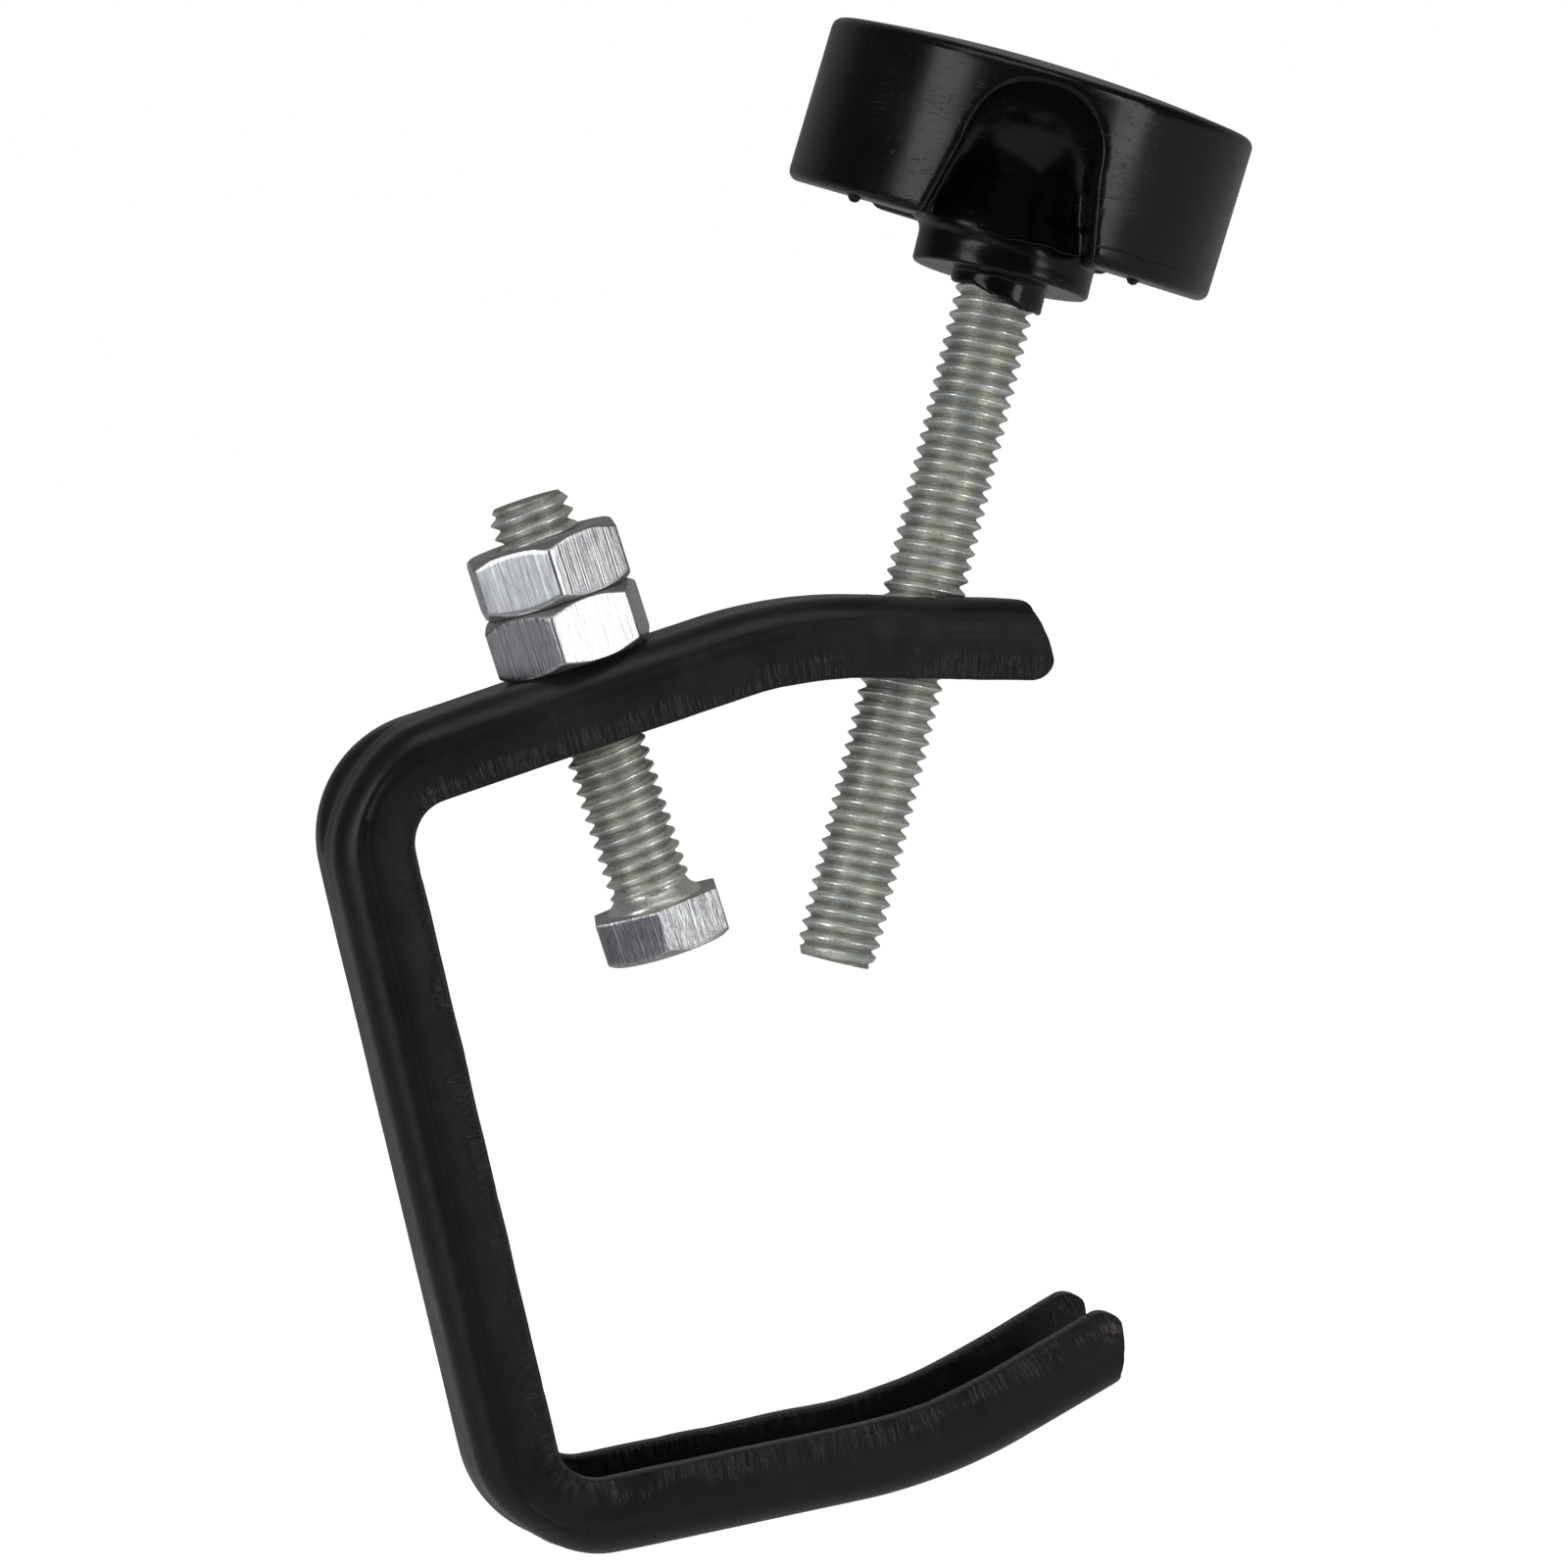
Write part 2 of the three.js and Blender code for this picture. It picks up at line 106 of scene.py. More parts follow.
class ClampChannelSizes(bpy.types.PropertyGroup):
    pipe_radius: length("Pipe radius", 25, "Radius of the pipe that lies against the spine and lower arm")
    spine: length("Spine", 78.1, "Flange edges' length between the two corners")
    lower_arm: length("Lower arm", 42.6, "From the lower corner to the hook's bend")
    hook: length("Hook", 24.1, "From the hook's bend to its tip")
    upper_arm: length("Upper arm", 47.8, "From the upper corner to the arm's bend")
    arm_end: length("Arm end", 28.3, "From the arm's bend to its end")
    lower_slope: angle("Lower slope", 3.9, "Fall of the lower arm")
    hook_rise: angle("Hook rise", 14.8, "Rise of the hook")
    upper_rise: angle("Upper rise", 4.7, "Rise of the upper arm")
    end_drop: angle("End drop", 14.8, "Fall of the upper arm's end")
    width: length("Width", 17.5, "Width of the channel over both flanges")
    depth: length("Depth", 9.2, "Depth of the channel from flange edges to web")
    wall: length("Wall", 2.5, "Thickness of the strip")
    shoulder: length("Shoulder", 4.2, "Outer radius between flange and web")
    corner: length("Corner", 4.9, "Inner radius of both corners at the flange edges")


class ClampScrewSizes(bpy.types.PropertyGroup):
    crest: length("Crest radius", 4.71, "Thread radius over the crests")
    root: length("Root radius", 3.86, "Thread radius in the roots")
    pitch: length("Pitch", 1.5875, "Distance from one thread to the next")
    screw_length: length("Screw length", 90.5, "From the tip to the end inside the knob")
    bolt_foot: length("Bolt place", 24.9, "From the upper corner to the yoke bolt, along the arm")
    bolt_length: length("Bolt length", 53.4, "From the outer face of the head to the end")
    head_below: length("Head below arm", 25.2, "From the flange edges to the outer face of the head")
    head_flats: length("Head flats", 14.3, "Width of the head across flats")
    head_height: length("Head height", 5.6, "Height of the head")
    nut_flats: length("Nut flats", 16.8, "Width of a nut across flats")
    nut_height: length("Nut height", 7.2, "Height of a nut")


class ClampKnobSizes(bpy.types.PropertyGroup):
    radius: length("Radius", 24.95, "Outer radius of the knob")
    rim_start: length("Rim start", 84.4, "From the screw's tip to the lower edge of the rim")
    height: length("Height", 19.15, "Height of the rim")
    crown: length("Crown", 1.65, "How far the top rises in the middle")
    lean: angle("Lean", 1.75, "How far the moulding leans from the screw's line, away from the spine")
    nod: angle("Nod", 5.5, "How far the moulding leans from the screw's line, across the clamp")
    shift: length("Shift", -1.5, "How far the moulding stands off the screw's line")
    hub_radius: length("Hub radius", 10.3, "Radius of the hub")
    hub_drop: length("Hub drop", 4.3, "How far the hub stands below the rim")
    sleeve_radius: length("Sleeve radius", 5.5, "Radius of the sleeve round the screw")
    sleeve_drop: length("Sleeve drop", 7.6, "How far the sleeve reaches below the rim")
    scoop_width: length("Scoop width", 20, "Width of a finger scoop at the rim's lower edge")
    scoop_height: length("Scoop height", 18.0, "Height of a finger scoop")
    scoop_turn: angle("Scoop turn", -102, "Where the first scoop stands round the screw")


class ClampFinishes(bpy.types.PropertyGroup):
    paint: colour("Paint", (0.0046, 0.0046, 0.0056), "Black powder coat of the channel")
    plastic: colour("Plastic", (0.0042, 0.0042, 0.0050), "Black plastic of the knob")
    zinc: colour("Zinc", (0.80, 0.82, 0.84), "Zinc plate of nuts and bolt head")
    thread_zinc: colour("Thread zinc", (0.88, 0.88, 0.80), "Zinc plate of the threads")
    floor: colour("Floor", (0.6, 0.6, 0.6), "Studio floor")


# ---------------------------------------------------------------- mesh helpers

def new_piece(name, points, faces, material, placement=None, smooth=35.0):
    """A mesh object from points in millimetres, smooth but for edges sharper than an angle in degrees."""
    mesh = bpy.data.meshes.new(name)
    places = [tuple(p) for p in np.asarray(points, float) * MM]
    mesh.from_pydata(places, [], [tuple(map(int, f)) for f in faces])
    mesh.validate()
    finish_mesh(mesh, smooth)
    mesh.materials.append(material)
    piece = bpy.data.objects.new(name, mesh)
    bpy.context.collection.objects.link(piece)
    if placement is not None:
        piece.matrix_world = placement
    return piece


def finish_mesh(mesh, smooth):
    """Turns all faces outwards and marks sharp edges."""
    bm = bmesh.new()
    bm.from_mesh(mesh)
    bmesh.ops.remove_doubles(bm, verts=bm.verts, dist=1e-7)
    bmesh.ops.recalc_face_normals(bm, faces=bm.faces)
    bm.to_mesh(mesh)
    bm.free()
    mesh.shade_smooth()
    mesh.set_sharp_from_angle(angle=math.radians(smooth))


def axis_placement(start, axis, turn=0.0):
    """Local Z along an axis in the clamp's plane, local Y across the clamp, then turned round that axis."""
    lean = math.atan2(axis.x, axis.z)
    return (
        Matrix.Translation(Vector(start) * MM)
        @ Euler((0, lean, 0)).to_matrix().to_4x4()
        @ Matrix.Rotation(turn, 4, "Z")
    )


def loft(rings, caps=True):
    """Points and faces of a skin over closed rings of equal length; caps are single faces."""
    rings = [np.asarray(ring, float) for ring in rings]
    count = len(rings[0])
    points = np.concatenate(rings)
    faces = []
    for row in range(len(rings) - 1):
        here, above = row * count, (row + 1) * count
        for i in range(count):
            j = (i + 1) % count
            faces.append((here + i, here + j, above + j, above + i))
    if caps:
        faces.append(tuple(range(count - 1, -1, -1)))
        last = (len(rings) - 1) * count
        faces.append(tuple(range(last, last + count)))
    return points, faces


def cut(piece, tool, operation):
    """Applies one exact boolean to a piece and removes the tool."""
    step = piece.modifiers.new("cut", "BOOLEAN")
    step.operation = operation
    step.object = tool
    step.solver = "EXACT"
    with bpy.context.temp_override(object=piece, active_object=piece, selected_objects=[piece]):
        bpy.ops.object.modifier_apply(modifier=step.name)
    mesh = tool.data
    bpy.data.objects.remove(tool)
    bpy.data.meshes.remove(mesh)


def rod(name, radius, low, high, placement, material, segments=64):
    """A plain round tool for cutting."""
    turn = np.arange(segments) * 2 * np.pi / segments
    ring = np.stack([np.cos(turn) * radius, np.sin(turn) * radius, turn * 0], 1)
    points, faces = loft([ring + [0, 0, low], ring + [0, 0, high]])
    return new_piece(name, points, faces, material, placement)


def ramp(value, low, high):
    """0 below low, 1 above high, smooth between."""
    t = np.clip((np.asarray(value, float) - low) / (high - low), 0, 1)
    return t * t * (3 - 2 * t)


def ripple(*place):
    """Smooth repeatable noise between about -1 and 1."""
    return noise.noise(Vector(place))


# ---------------------------------------------------------------- material helpers

class Finish:
    """A node material built up step by step."""

    def __init__(self, name):
        self.material = bpy.data.materials.new(name)
        self.material.use_nodes = True
        self.tree = self.material.node_tree
        self.shader = self.tree.nodes["Principled BSDF"]
        self.here = self.add("ShaderNodeTexCoord").outputs["Object"]

    def add(self, kind, inputs=None, **settings):
        made = self.tree.nodes.new(kind)
        for key, value in settings.items():
            setattr(made, key, value)
        for key, value in (inputs or {}).items():
            if isinstance(value, bpy.types.NodeSocket):
                self.tree.links.new(value, made.inputs[key])
            else:
                made.inputs[key].default_value = value
        return made

    def math(self, operation, one, two=0.0, three=0.0):
        return self.add("ShaderNodeMath", {0: one, 1: two, 2: three}, operation=operation).outputs[0]

    def stretched(self, scale, source=None):
        return self.add(
            "ShaderNodeVectorMath", {0: source or self.here, 1: scale}, operation="MULTIPLY",
        ).outputs[0]

    def grain(self, size, detail=3.0, roughness=0.5, source=None, stretch=(1, 1, 1), distortion=0.0):
        """Noise whose cells are about this many millimetres across."""
        scale = tuple(k / (size * MM) for k in stretch)
        return self.add("ShaderNodeTexNoise", {
            "Vector": self.stretched(scale, source), "Scale": 1.0, "Detail": detail, "Roughness": roughness,
            "Distortion": distortion,
        }).outputs["Fac"]

    def between(self, value, low, high, to_low=0.0, to_high=1.0, soft=True):
        return self.add("ShaderNodeMapRange", {
            "Value": value, "From Min": low, "From Max": high, "To Min": to_low, "To Max": to_high,
        }, interpolation_type="SMOOTHSTEP" if soft else "LINEAR").outputs["Result"]

    def mixed(self, share, one, other):
        made = self.add("ShaderNodeMix", data_type="RGBA")
        for socket, value in ((made.inputs[0], share), (made.inputs[6], one), (made.inputs[7], other)):
            if isinstance(value, bpy.types.NodeSocket):
                self.tree.links.new(value, socket)
            elif socket.type == "RGBA":
                socket.default_value = (*value, 1.0)
            else:
                socket.default_value = value
        return made.outputs[2]

    def raised(self, height, distance, strength=1.0, below=None):
        """A bump of this height in millimetres, on top of another."""
        inputs = {"Height": height, "Distance": distance * MM, "Strength": strength}
        if below is not None:
            inputs["Normal"] = below
        return self.add("ShaderNodeBump", inputs).outputs["Normal"]

    def drive(self, **sockets):
        for name, value in sockets.items():
            key = name.replace("_", " ")
            if isinstance(value, bpy.types.NodeSocket):
                self.tree.links.new(value, self.shader.inputs[key])
            else:
                self.shader.inputs[key].default_value = value


def shade(rgb, factor):
    return tuple(min(1.0, channel * factor) for channel in rgb)


def near_spot(finish, centre, radius):
    """1 at a place in the clamp's frame, in millimetres, falling to 0 at a radius."""
    offset = finish.add(
        "ShaderNodeVectorMath", {0: finish.here, 1: Vector(centre) * MM}, operation="SUBTRACT",
    ).outputs[0]
    far = finish.add("ShaderNodeVectorMath", {0: offset}, operation="LENGTH").outputs["Value"]
    return finish.between(far, 0.0, radius * MM, 1.0, 0.0)


# Places where the paint is rubbed through, and how far that reaches
RUBBED_SPOTS = (((40.4, -8.4, -22.9), 1.9), ((27.4, -6.6, -33.4), 3.2), ((22.6, -6.2, -34.2), 2.6))


def powder_coat(finishes):
    """Satin black coat with fine peel, tool marks along the flange edges and a few rubbed spots."""
    coat = Finish("black_powder_coat")
    strip = coat.add("ShaderNodeUVMap", uv_map="strip").outputs["UV"]
    parts = coat.add("ShaderNodeSeparateXYZ", {0: strip})
    from_edge = parts.outputs["Y"]

    # UV runs in millimetres: along the strip, and in from the flange edge
    marks = coat.add("ShaderNodeTexNoise", {
        "Vector": coat.stretched((1.5, 0.22, 1.0), strip), "Scale": 1.0, "Detail": 3.5, "Roughness": 0.62,
    }).outputs["Fac"]
    patches = coat.add("ShaderNodeTexNoise", {
        "Vector": coat.stretched((0.11, 0.25, 1.0), strip), "Scale": 1.0, "Detail": 2.0, "Roughness": 0.5,
    }).outputs["Fac"]
    wobble = coat.math("MULTIPLY_ADD", patches, 2.6, 1.3)
    in_reach = coat.between(coat.math("SUBTRACT", from_edge, wobble), -1.2, 0.5, 1.0, 0.0)
    by_edge = coat.math("MULTIPLY", in_reach, coat.between(patches, 0.36, 0.58))
    cuts = coat.math("MULTIPLY", coat.between(marks, 0.40, 0.72), by_edge)

    peel = coat.grain(0.75, detail=3.0, roughness=0.55)
    mottle = coat.grain(6.5, detail=4.0, roughness=0.6)
    dust = coat.grain(0.33, detail=2.0, roughness=0.5)
    specks = coat.between(coat.math("MULTIPLY", dust, mottle), 0.40, 0.47)

    normal = coat.raised(peel, 0.028, 0.55)
    normal = coat.raised(mottle, 0.12, 0.30, normal)
    normal = coat.raised(cuts, 0.16, 0.8, normal)

    base = coat.mixed(coat.between(mottle, 0.3, 0.7), shade(finishes.paint, 0.8), shade(finishes.paint, 1.3))
    base = coat.mixed(coat.math("MULTIPLY", cuts, 0.5), base, (0.034, 0.034, 0.040))
    base = coat.mixed(coat.math("MULTIPLY", specks, 0.35), base, (0.06, 0.058, 0.055))

    rubbed = None
    flecks = coat.grain(0.9, detail=4.0, roughness=0.7)
    for centre, radius in RUBBED_SPOTS:
        spot = coat.math("MULTIPLY", near_spot(coat, centre, radius), coat.between(flecks, 0.47, 0.58))
        rubbed = spot if rubbed is None else coat.math("MAXIMUM", rubbed, spot)
    base = coat.mixed(coat.math("MULTIPLY", rubbed, 0.8), base, (0.13, 0.105, 0.085))

    rough = coat.between(mottle, 0.25, 0.75, 0.33, 0.46, soft=False)
    rough = coat.math("MULTIPLY_ADD", peel, 0.10, rough)
    rough = coat.math("MULTIPLY_ADD", cuts, -0.10, coat.math("SUBTRACT", rough, 0.05))
    coat.drive(Base_Color=base, Roughness=rough, Normal=normal, Metallic=0.0, IOR=1.5)
    # A faint sheen where the paint is seen at a low angle
    coat.drive(Sheen_Weight=0.07, Sheen_Roughness=0.55, Sheen_Tint=(1.0, 0.93, 0.88, 1.0))
    coat.drive(Specular_IOR_Level=0.34)
    return coat.material


def black_plastic(finishes, start, lean):
    """Moulded black plastic: glossy, with fine handling scratches and a witness line at the hub."""
    skin = Finish("black_plastic")
    # Patterns follow the screw's line
    moved = skin.add(
        "ShaderNodeVectorMath", {0: skin.here, 1: Vector(start) * MM}, operation="SUBTRACT",
    ).outputs[0]
    skin.here = skin.add("ShaderNodeVectorRotate", {"Vector": moved, "Angle": -lean},
                         rotation_type="Y_AXIS").outputs[0]
    place = skin.add("ShaderNodeSeparateXYZ", {0: skin.here})
    wash = skin.grain(7.0, detail=4.0, roughness=0.6)
    rings = skin.grain(0.5, detail=3.0, roughness=0.6, stretch=(0.08, 0.08, 1.0))
    hairs = skin.grain(0.28, detail=2.0, roughness=0.5, stretch=(0.12, 0.12, 1.6), distortion=0.25)
    pits = skin.grain(0.6, detail=3.0, roughness=0.7)
    scratch = skin.math("MULTIPLY", skin.between(hairs, 0.60, 0.72), skin.between(wash, 0.45, 0.65))

    # Witness line where the mould's halves met, a little uneven
    drift = skin.grain(5.0, detail=3.0, roughness=0.6)
    high = skin.math("MULTIPLY_ADD", drift, -1.6 * MM, place.outputs["Z"])
    off_line = skin.math("ABSOLUTE", skin.math("ADD", high, 1.05 * MM))
    line = skin.between(off_line, 0.03 * MM, 0.16 * MM, 1.0, 0.0)

    normal = skin.raised(wash, 0.10, 0.35)
    normal = skin.raised(rings, 0.012, 0.6, normal)
    normal = skin.raised(scratch, 0.03, 0.7, normal)
    normal = skin.raised(skin.between(pits, 0.62, 0.75), 0.03, 0.5, normal)
    normal = skin.raised(line, 0.10, 0.8, normal)

    dark, pale = shade(finishes.plastic, 0.8), shade(finishes.plastic, 1.3)
    base = skin.mixed(skin.between(wash, 0.3, 0.7), dark, pale)
    base = skin.mixed(skin.math("MULTIPLY", scratch, 0.35), base, (0.05, 0.05, 0.055))
    base = skin.mixed(skin.math("MULTIPLY", line, 0.6), base, (0.002, 0.002, 0.002))
    rough = skin.between(wash, 0.25, 0.75, 0.13, 0.24, soft=False)
    rough = skin.math("MULTIPLY_ADD", scratch, 0.18, rough)
    rough = skin.math("MULTIPLY_ADD", rings, 0.06, rough)
    skin.drive(Base_Color=base, Roughness=rough, Normal=normal, Metallic=0.0, IOR=1.5)
    skin.drive(Specular_IOR_Level=0.32)
    return skin.material


def wrench_zinc(finishes, name, depth, shine):
    """Zinc plate over drawn hexagon stock: streaks run along the axis, end faces are turned."""
    plate = Finish(name)
    place = plate.add("ShaderNodeSeparateXYZ", {0: plate.here})
    facing = plate.add("ShaderNodeSeparateXYZ", {0: plate.add("ShaderNodeTexCoord").outputs["Normal"]})
    ends = plate.between(plate.math("ABSOLUTE", facing.outputs["Z"]), 0.25, 0.40)
    flat = plate.add("ShaderNodeCombineXYZ", {"X": place.outputs["X"], "Y": place.outputs["Y"]}).outputs[0]
    reach = plate.add("ShaderNodeVectorMath", {0: flat}, operation="LENGTH").outputs["Value"]

    drawn = plate.grain(0.30, detail=4.0, roughness=0.65, stretch=(1.0, 1.0, 0.009))
    broad = plate.grain(1.3, detail=2.0, roughness=0.5, stretch=(1.0, 1.0, 0.02))
    wash = plate.grain(3.2, detail=4.0, roughness=0.65)
    turned = plate.add("ShaderNodeTexNoise", {
        "Vector": plate.add("ShaderNodeCombineXYZ", {"X": plate.math("MULTIPLY", reach, 5200.0)}).outputs[0],
        "Scale": 1.0, "Detail": 2.0, "Roughness": 0.6,
    }).outputs["Fac"]
    streaks = plate.between(drawn, 0.34, 0.66)
    sides = plate.math("SUBTRACT", 1.0, ends)

    normal = plate.raised(plate.math("MULTIPLY", streaks, sides), depth * 0.35, 0.8)
    normal = plate.raised(plate.math("MULTIPLY", broad, sides), depth, 0.7, normal)
    normal = plate.raised(plate.math("MULTIPLY", turned, ends), 0.012, 0.6, normal)
    normal = plate.raised(wash, 0.015, 0.25, normal)

    base = plate.mixed(plate.between(wash, 0.3, 0.7), shade(finishes.zinc, 0.86), finishes.zinc)
    base = plate.mixed(plate.math("MULTIPLY", plate.math("SUBTRACT", 1.0, streaks), 0.45), base,
                       shade(finishes.zinc, 0.42))
    base = plate.mixed(plate.math("MULTIPLY", ends, 0.55), base, (0.50, 0.48, 0.44))
    rough = plate.between(drawn, 0.3, 0.7, shine + 0.10, shine, soft=False)
    rough = plate.math("MULTIPLY_ADD", ends, 0.20, rough)
    plate.drive(Base_Color=base, Roughness=rough, Normal=normal, Metallic=1.0)
    return plate.material


def thread_zinc(finishes, crest, root):
    """Zinc plate on rolled threads: bright crests, duller yellowish flanks, grey roots."""
    plate = Finish("zinc_thread")
    place = plate.add("ShaderNodeSeparateXYZ", {0: plate.here})
    flat = plate.add("ShaderNodeCombineXYZ", {"X": place.outputs["X"], "Y": place.outputs["Y"]}).outputs[0]
    reach = plate.add("ShaderNodeVectorMath", {0: flat}, operation="LENGTH").outputs["Value"]
    tops = plate.between(reach, (crest - 0.16) * MM, (crest - 0.04) * MM)
    roots = plate.between(reach, root * MM, (root + 0.35) * MM, 1.0, 0.0)

    lines = plate.grain(0.16, detail=3.0, roughness=0.6, stretch=(0.12, 0.12, 1.0))
    wash = plate.grain(3.4, detail=4.0, roughness=0.65)
    nicks = plate.grain(0.45, detail=3.0, roughness=0.7)
    bright = plate.math("MULTIPLY", tops, plate.between(nicks, 0.42, 0.60))

    normal = plate.raised(lines, 0.012, 0.6)
    normal = plate.raised(nicks, 0.05, 0.45, normal)
    normal = plate.raised(wash, 0.08, 0.3, normal)

    base = plate.mixed(plate.between(wash, 0.35, 0.65), finishes.thread_zinc, (0.56, 0.60, 0.58))
    base = plate.mixed(plate.math("MULTIPLY", roots, 0.75), base, (0.24, 0.23, 0.19))
    base = plate.mixed(bright, base, (0.86, 0.86, 0.84))
    rough = plate.between(lines, 0.3, 0.7, 0.40, 0.52, soft=False)
    rough = plate.math("MULTIPLY_ADD", plate.between(nicks, 0.42, 0.62), -0.20, rough)
    rough = plate.math("MULTIPLY_ADD", roots, 0.15, rough)
    plate.drive(Base_Color=base, Roughness=rough, Normal=normal, Metallic=0.7)
    return plate.material


# ---------------------------------------------------------------- painted channel

# Stations along the strip, and points round its section
STATION_PITCH = 0.55
FAR_SIDE_MAP = 900.0
FLANGE_STATIONS = (0.0, 0.05, 0.15, 0.32, 0.6, 0.95, 1.35, 1.8, 2.25, 2.7, 3.15, 3.6, 4.0, 4.35, 4.7)
SHOULDER_STEPS = 16
WEB_STEPS = 9
EDGE_ROUND = 0.32
CORNER_STEPS = 30
BEND_STEPS = 40
HOOK_BEND_RADIUS = 55
ARM_BEND_RADIUS = 48
END_CORNER = 2.4
END_ZONE = 9.0
END_ROWS = 18
ARM_SLANT, ARM_BULGE = -2.0, 0.55
HOOK_SLANT, HOOK_BULGE = -2.4, 0.5
# The lip at each end is rounded by two small rings: how far back, and how far into the wall
END_LIPS = ((0.0, 0.30), (0.09, 0.09))

# Holes in the web
COLLAR_RADIUS, COLLAR_DROP = 6.5, 2.6
BOLT_HOLE_RADIUS = 5.25
THREAD_GAP = 0.07

# Marks of the press: the flanges lean in at their edges, and a crease runs where each shoulder starts
LEAN_DEPTH, LEAN_REACH = 0.26, 4.6
CREASE_DEPTH, CREASE_PLACE, CREASE_WIDTH = 0.24, 5.75, 0.40
# How deep the web is pinched in at the lower and the upper corner, and how far each pinch reaches
LOWER_PINCH = (0.55, 7.5)
UPPER_PINCH = (1.05, 9.3)
SHOULDER_PINCH = 0.85


def in_plane(turn, reach=1.0):
    return np.array([math.cos(turn) * reach, math.sin(turn) * reach])


def bent_line(corners, radii, steps):
    """Stations along straight runs and round corners: points, directions, and the middle of each corner."""
    points, directions, middles = [], [], []

    def run(start, end):
        gap = np.linalg.norm(end - start)
        way = (end - start) / gap
        count = max(2, int(gap / STATION_PITCH))
        for k in range(count):
            points.append(start + way * gap * k / count)
            directions.append(way)

    here = corners[0]
    for i in range(1, len(corners) - 1):
        into = (corners[i] - corners[i - 1]) / np.linalg.norm(corners[i] - corners[i - 1])
        out = (corners[i + 1] - corners[i]) / np.linalg.norm(corners[i + 1] - corners[i])
        bend = math.acos(float(np.clip(into @ out, -1, 1)))
        start = corners[i] - into * radii[i - 1] * math.tan(bend / 2)
        run(here, start)
        inward = out - into * (out @ into)
        inward /= np.linalg.norm(inward)
        centre = start + inward * radii[i - 1]
        middles.append(len(points) + steps[i - 1] // 2)
        for k in range(steps[i - 1]):
            part = bend * k / steps[i - 1]
            directions.append(into * math.cos(part) + inward * math.sin(part))
            points.append(centre + (into * math.sin(part) - inward * math.cos(part)) * radii[i - 1])
        here = centre + (into * math.sin(bend) - inward * math.cos(bend)) * radii[i - 1]
    run(here, corners[-1])
    points.append(corners[-1])
    directions.append((corners[-1] - here) / np.linalg.norm(corners[-1] - here))
    return np.array(points), np.array(directions), middles


def channel_section(size):
    """Matching points on the outer and inner faces, from one flange edge to the other.

    Each is a way across the channel and a way out from the flange edges.
    """
    half, depth, wall, shoulder = (getattr(size, k) / MM for k in ("width", "depth", "wall", "shoulder"))
    half /= 2
    inner_turn = shoulder - wall
    outer, inner = [], []
    for out in FLANGE_STATIONS:
        edge = EDGE_ROUND - math.sqrt(max(0.0, EDGE_ROUND ** 2 - (EDGE_ROUND - min(out, EDGE_ROUND)) ** 2))
        outer.append((half - edge, out))
        inner.append((half - wall + edge, out))
    web, side = half - shoulder, depth - shoulder
    for k in range(SHOULDER_STEPS + 1):
        turn = math.pi / 2 * k / SHOULDER_STEPS
        outer.append((web + shoulder * math.cos(turn), side + shoulder * math.sin(turn)))
        inner.append((web + inner_turn * math.cos(turn), side + inner_turn * math.sin(turn)))
    for k in range(1, WEB_STEPS):
        outer.append((web * (1 - k / WEB_STEPS), depth))
        inner.append((web * (1 - k / WEB_STEPS), depth - wall))
    outer, inner = np.array(outer), np.array(inner)
    mirror = np.array([-1, 1])
    # From the near flange's edge, which has negative across, to the far one
    return (
        np.concatenate([outer * mirror, outer[::-1]]),
        np.concatenate([inner * mirror, inner[::-1]]),
    )


def end_reach(out, depth, slant, bulge):
    """How far the strip's end stands past the end of its line at each depth from the flange edges."""
    corner = END_CORNER
    t = np.clip(out / corner, 0, 1)
    rounded = -corner + (corner + bulge * 0.8) * np.sqrt(np.clip(1 - (1 - t) ** 2, 0, 1))
    u = np.clip((out - corner) / (depth - corner * 1.5), 0, 1)
    begin, middle, finish = bulge * 0.8, slant / 2 + bulge * 1.4, slant + bulge * 0.2
    belly = begin * (1 - u) ** 2 + 2 * u * (1 - u) * middle + finish * u ** 2
    v = np.clip((out - (depth - corner / 2)) / (corner / 2), 0, 1)
    tail = finish - (corner / 2 + bulge * 0.2) * (1 - np.sqrt(np.clip(1 - v ** 2, 0, 1)))
    return np.where(out < corner, rounded, np.where(out < depth - corner / 2, belly, tail))


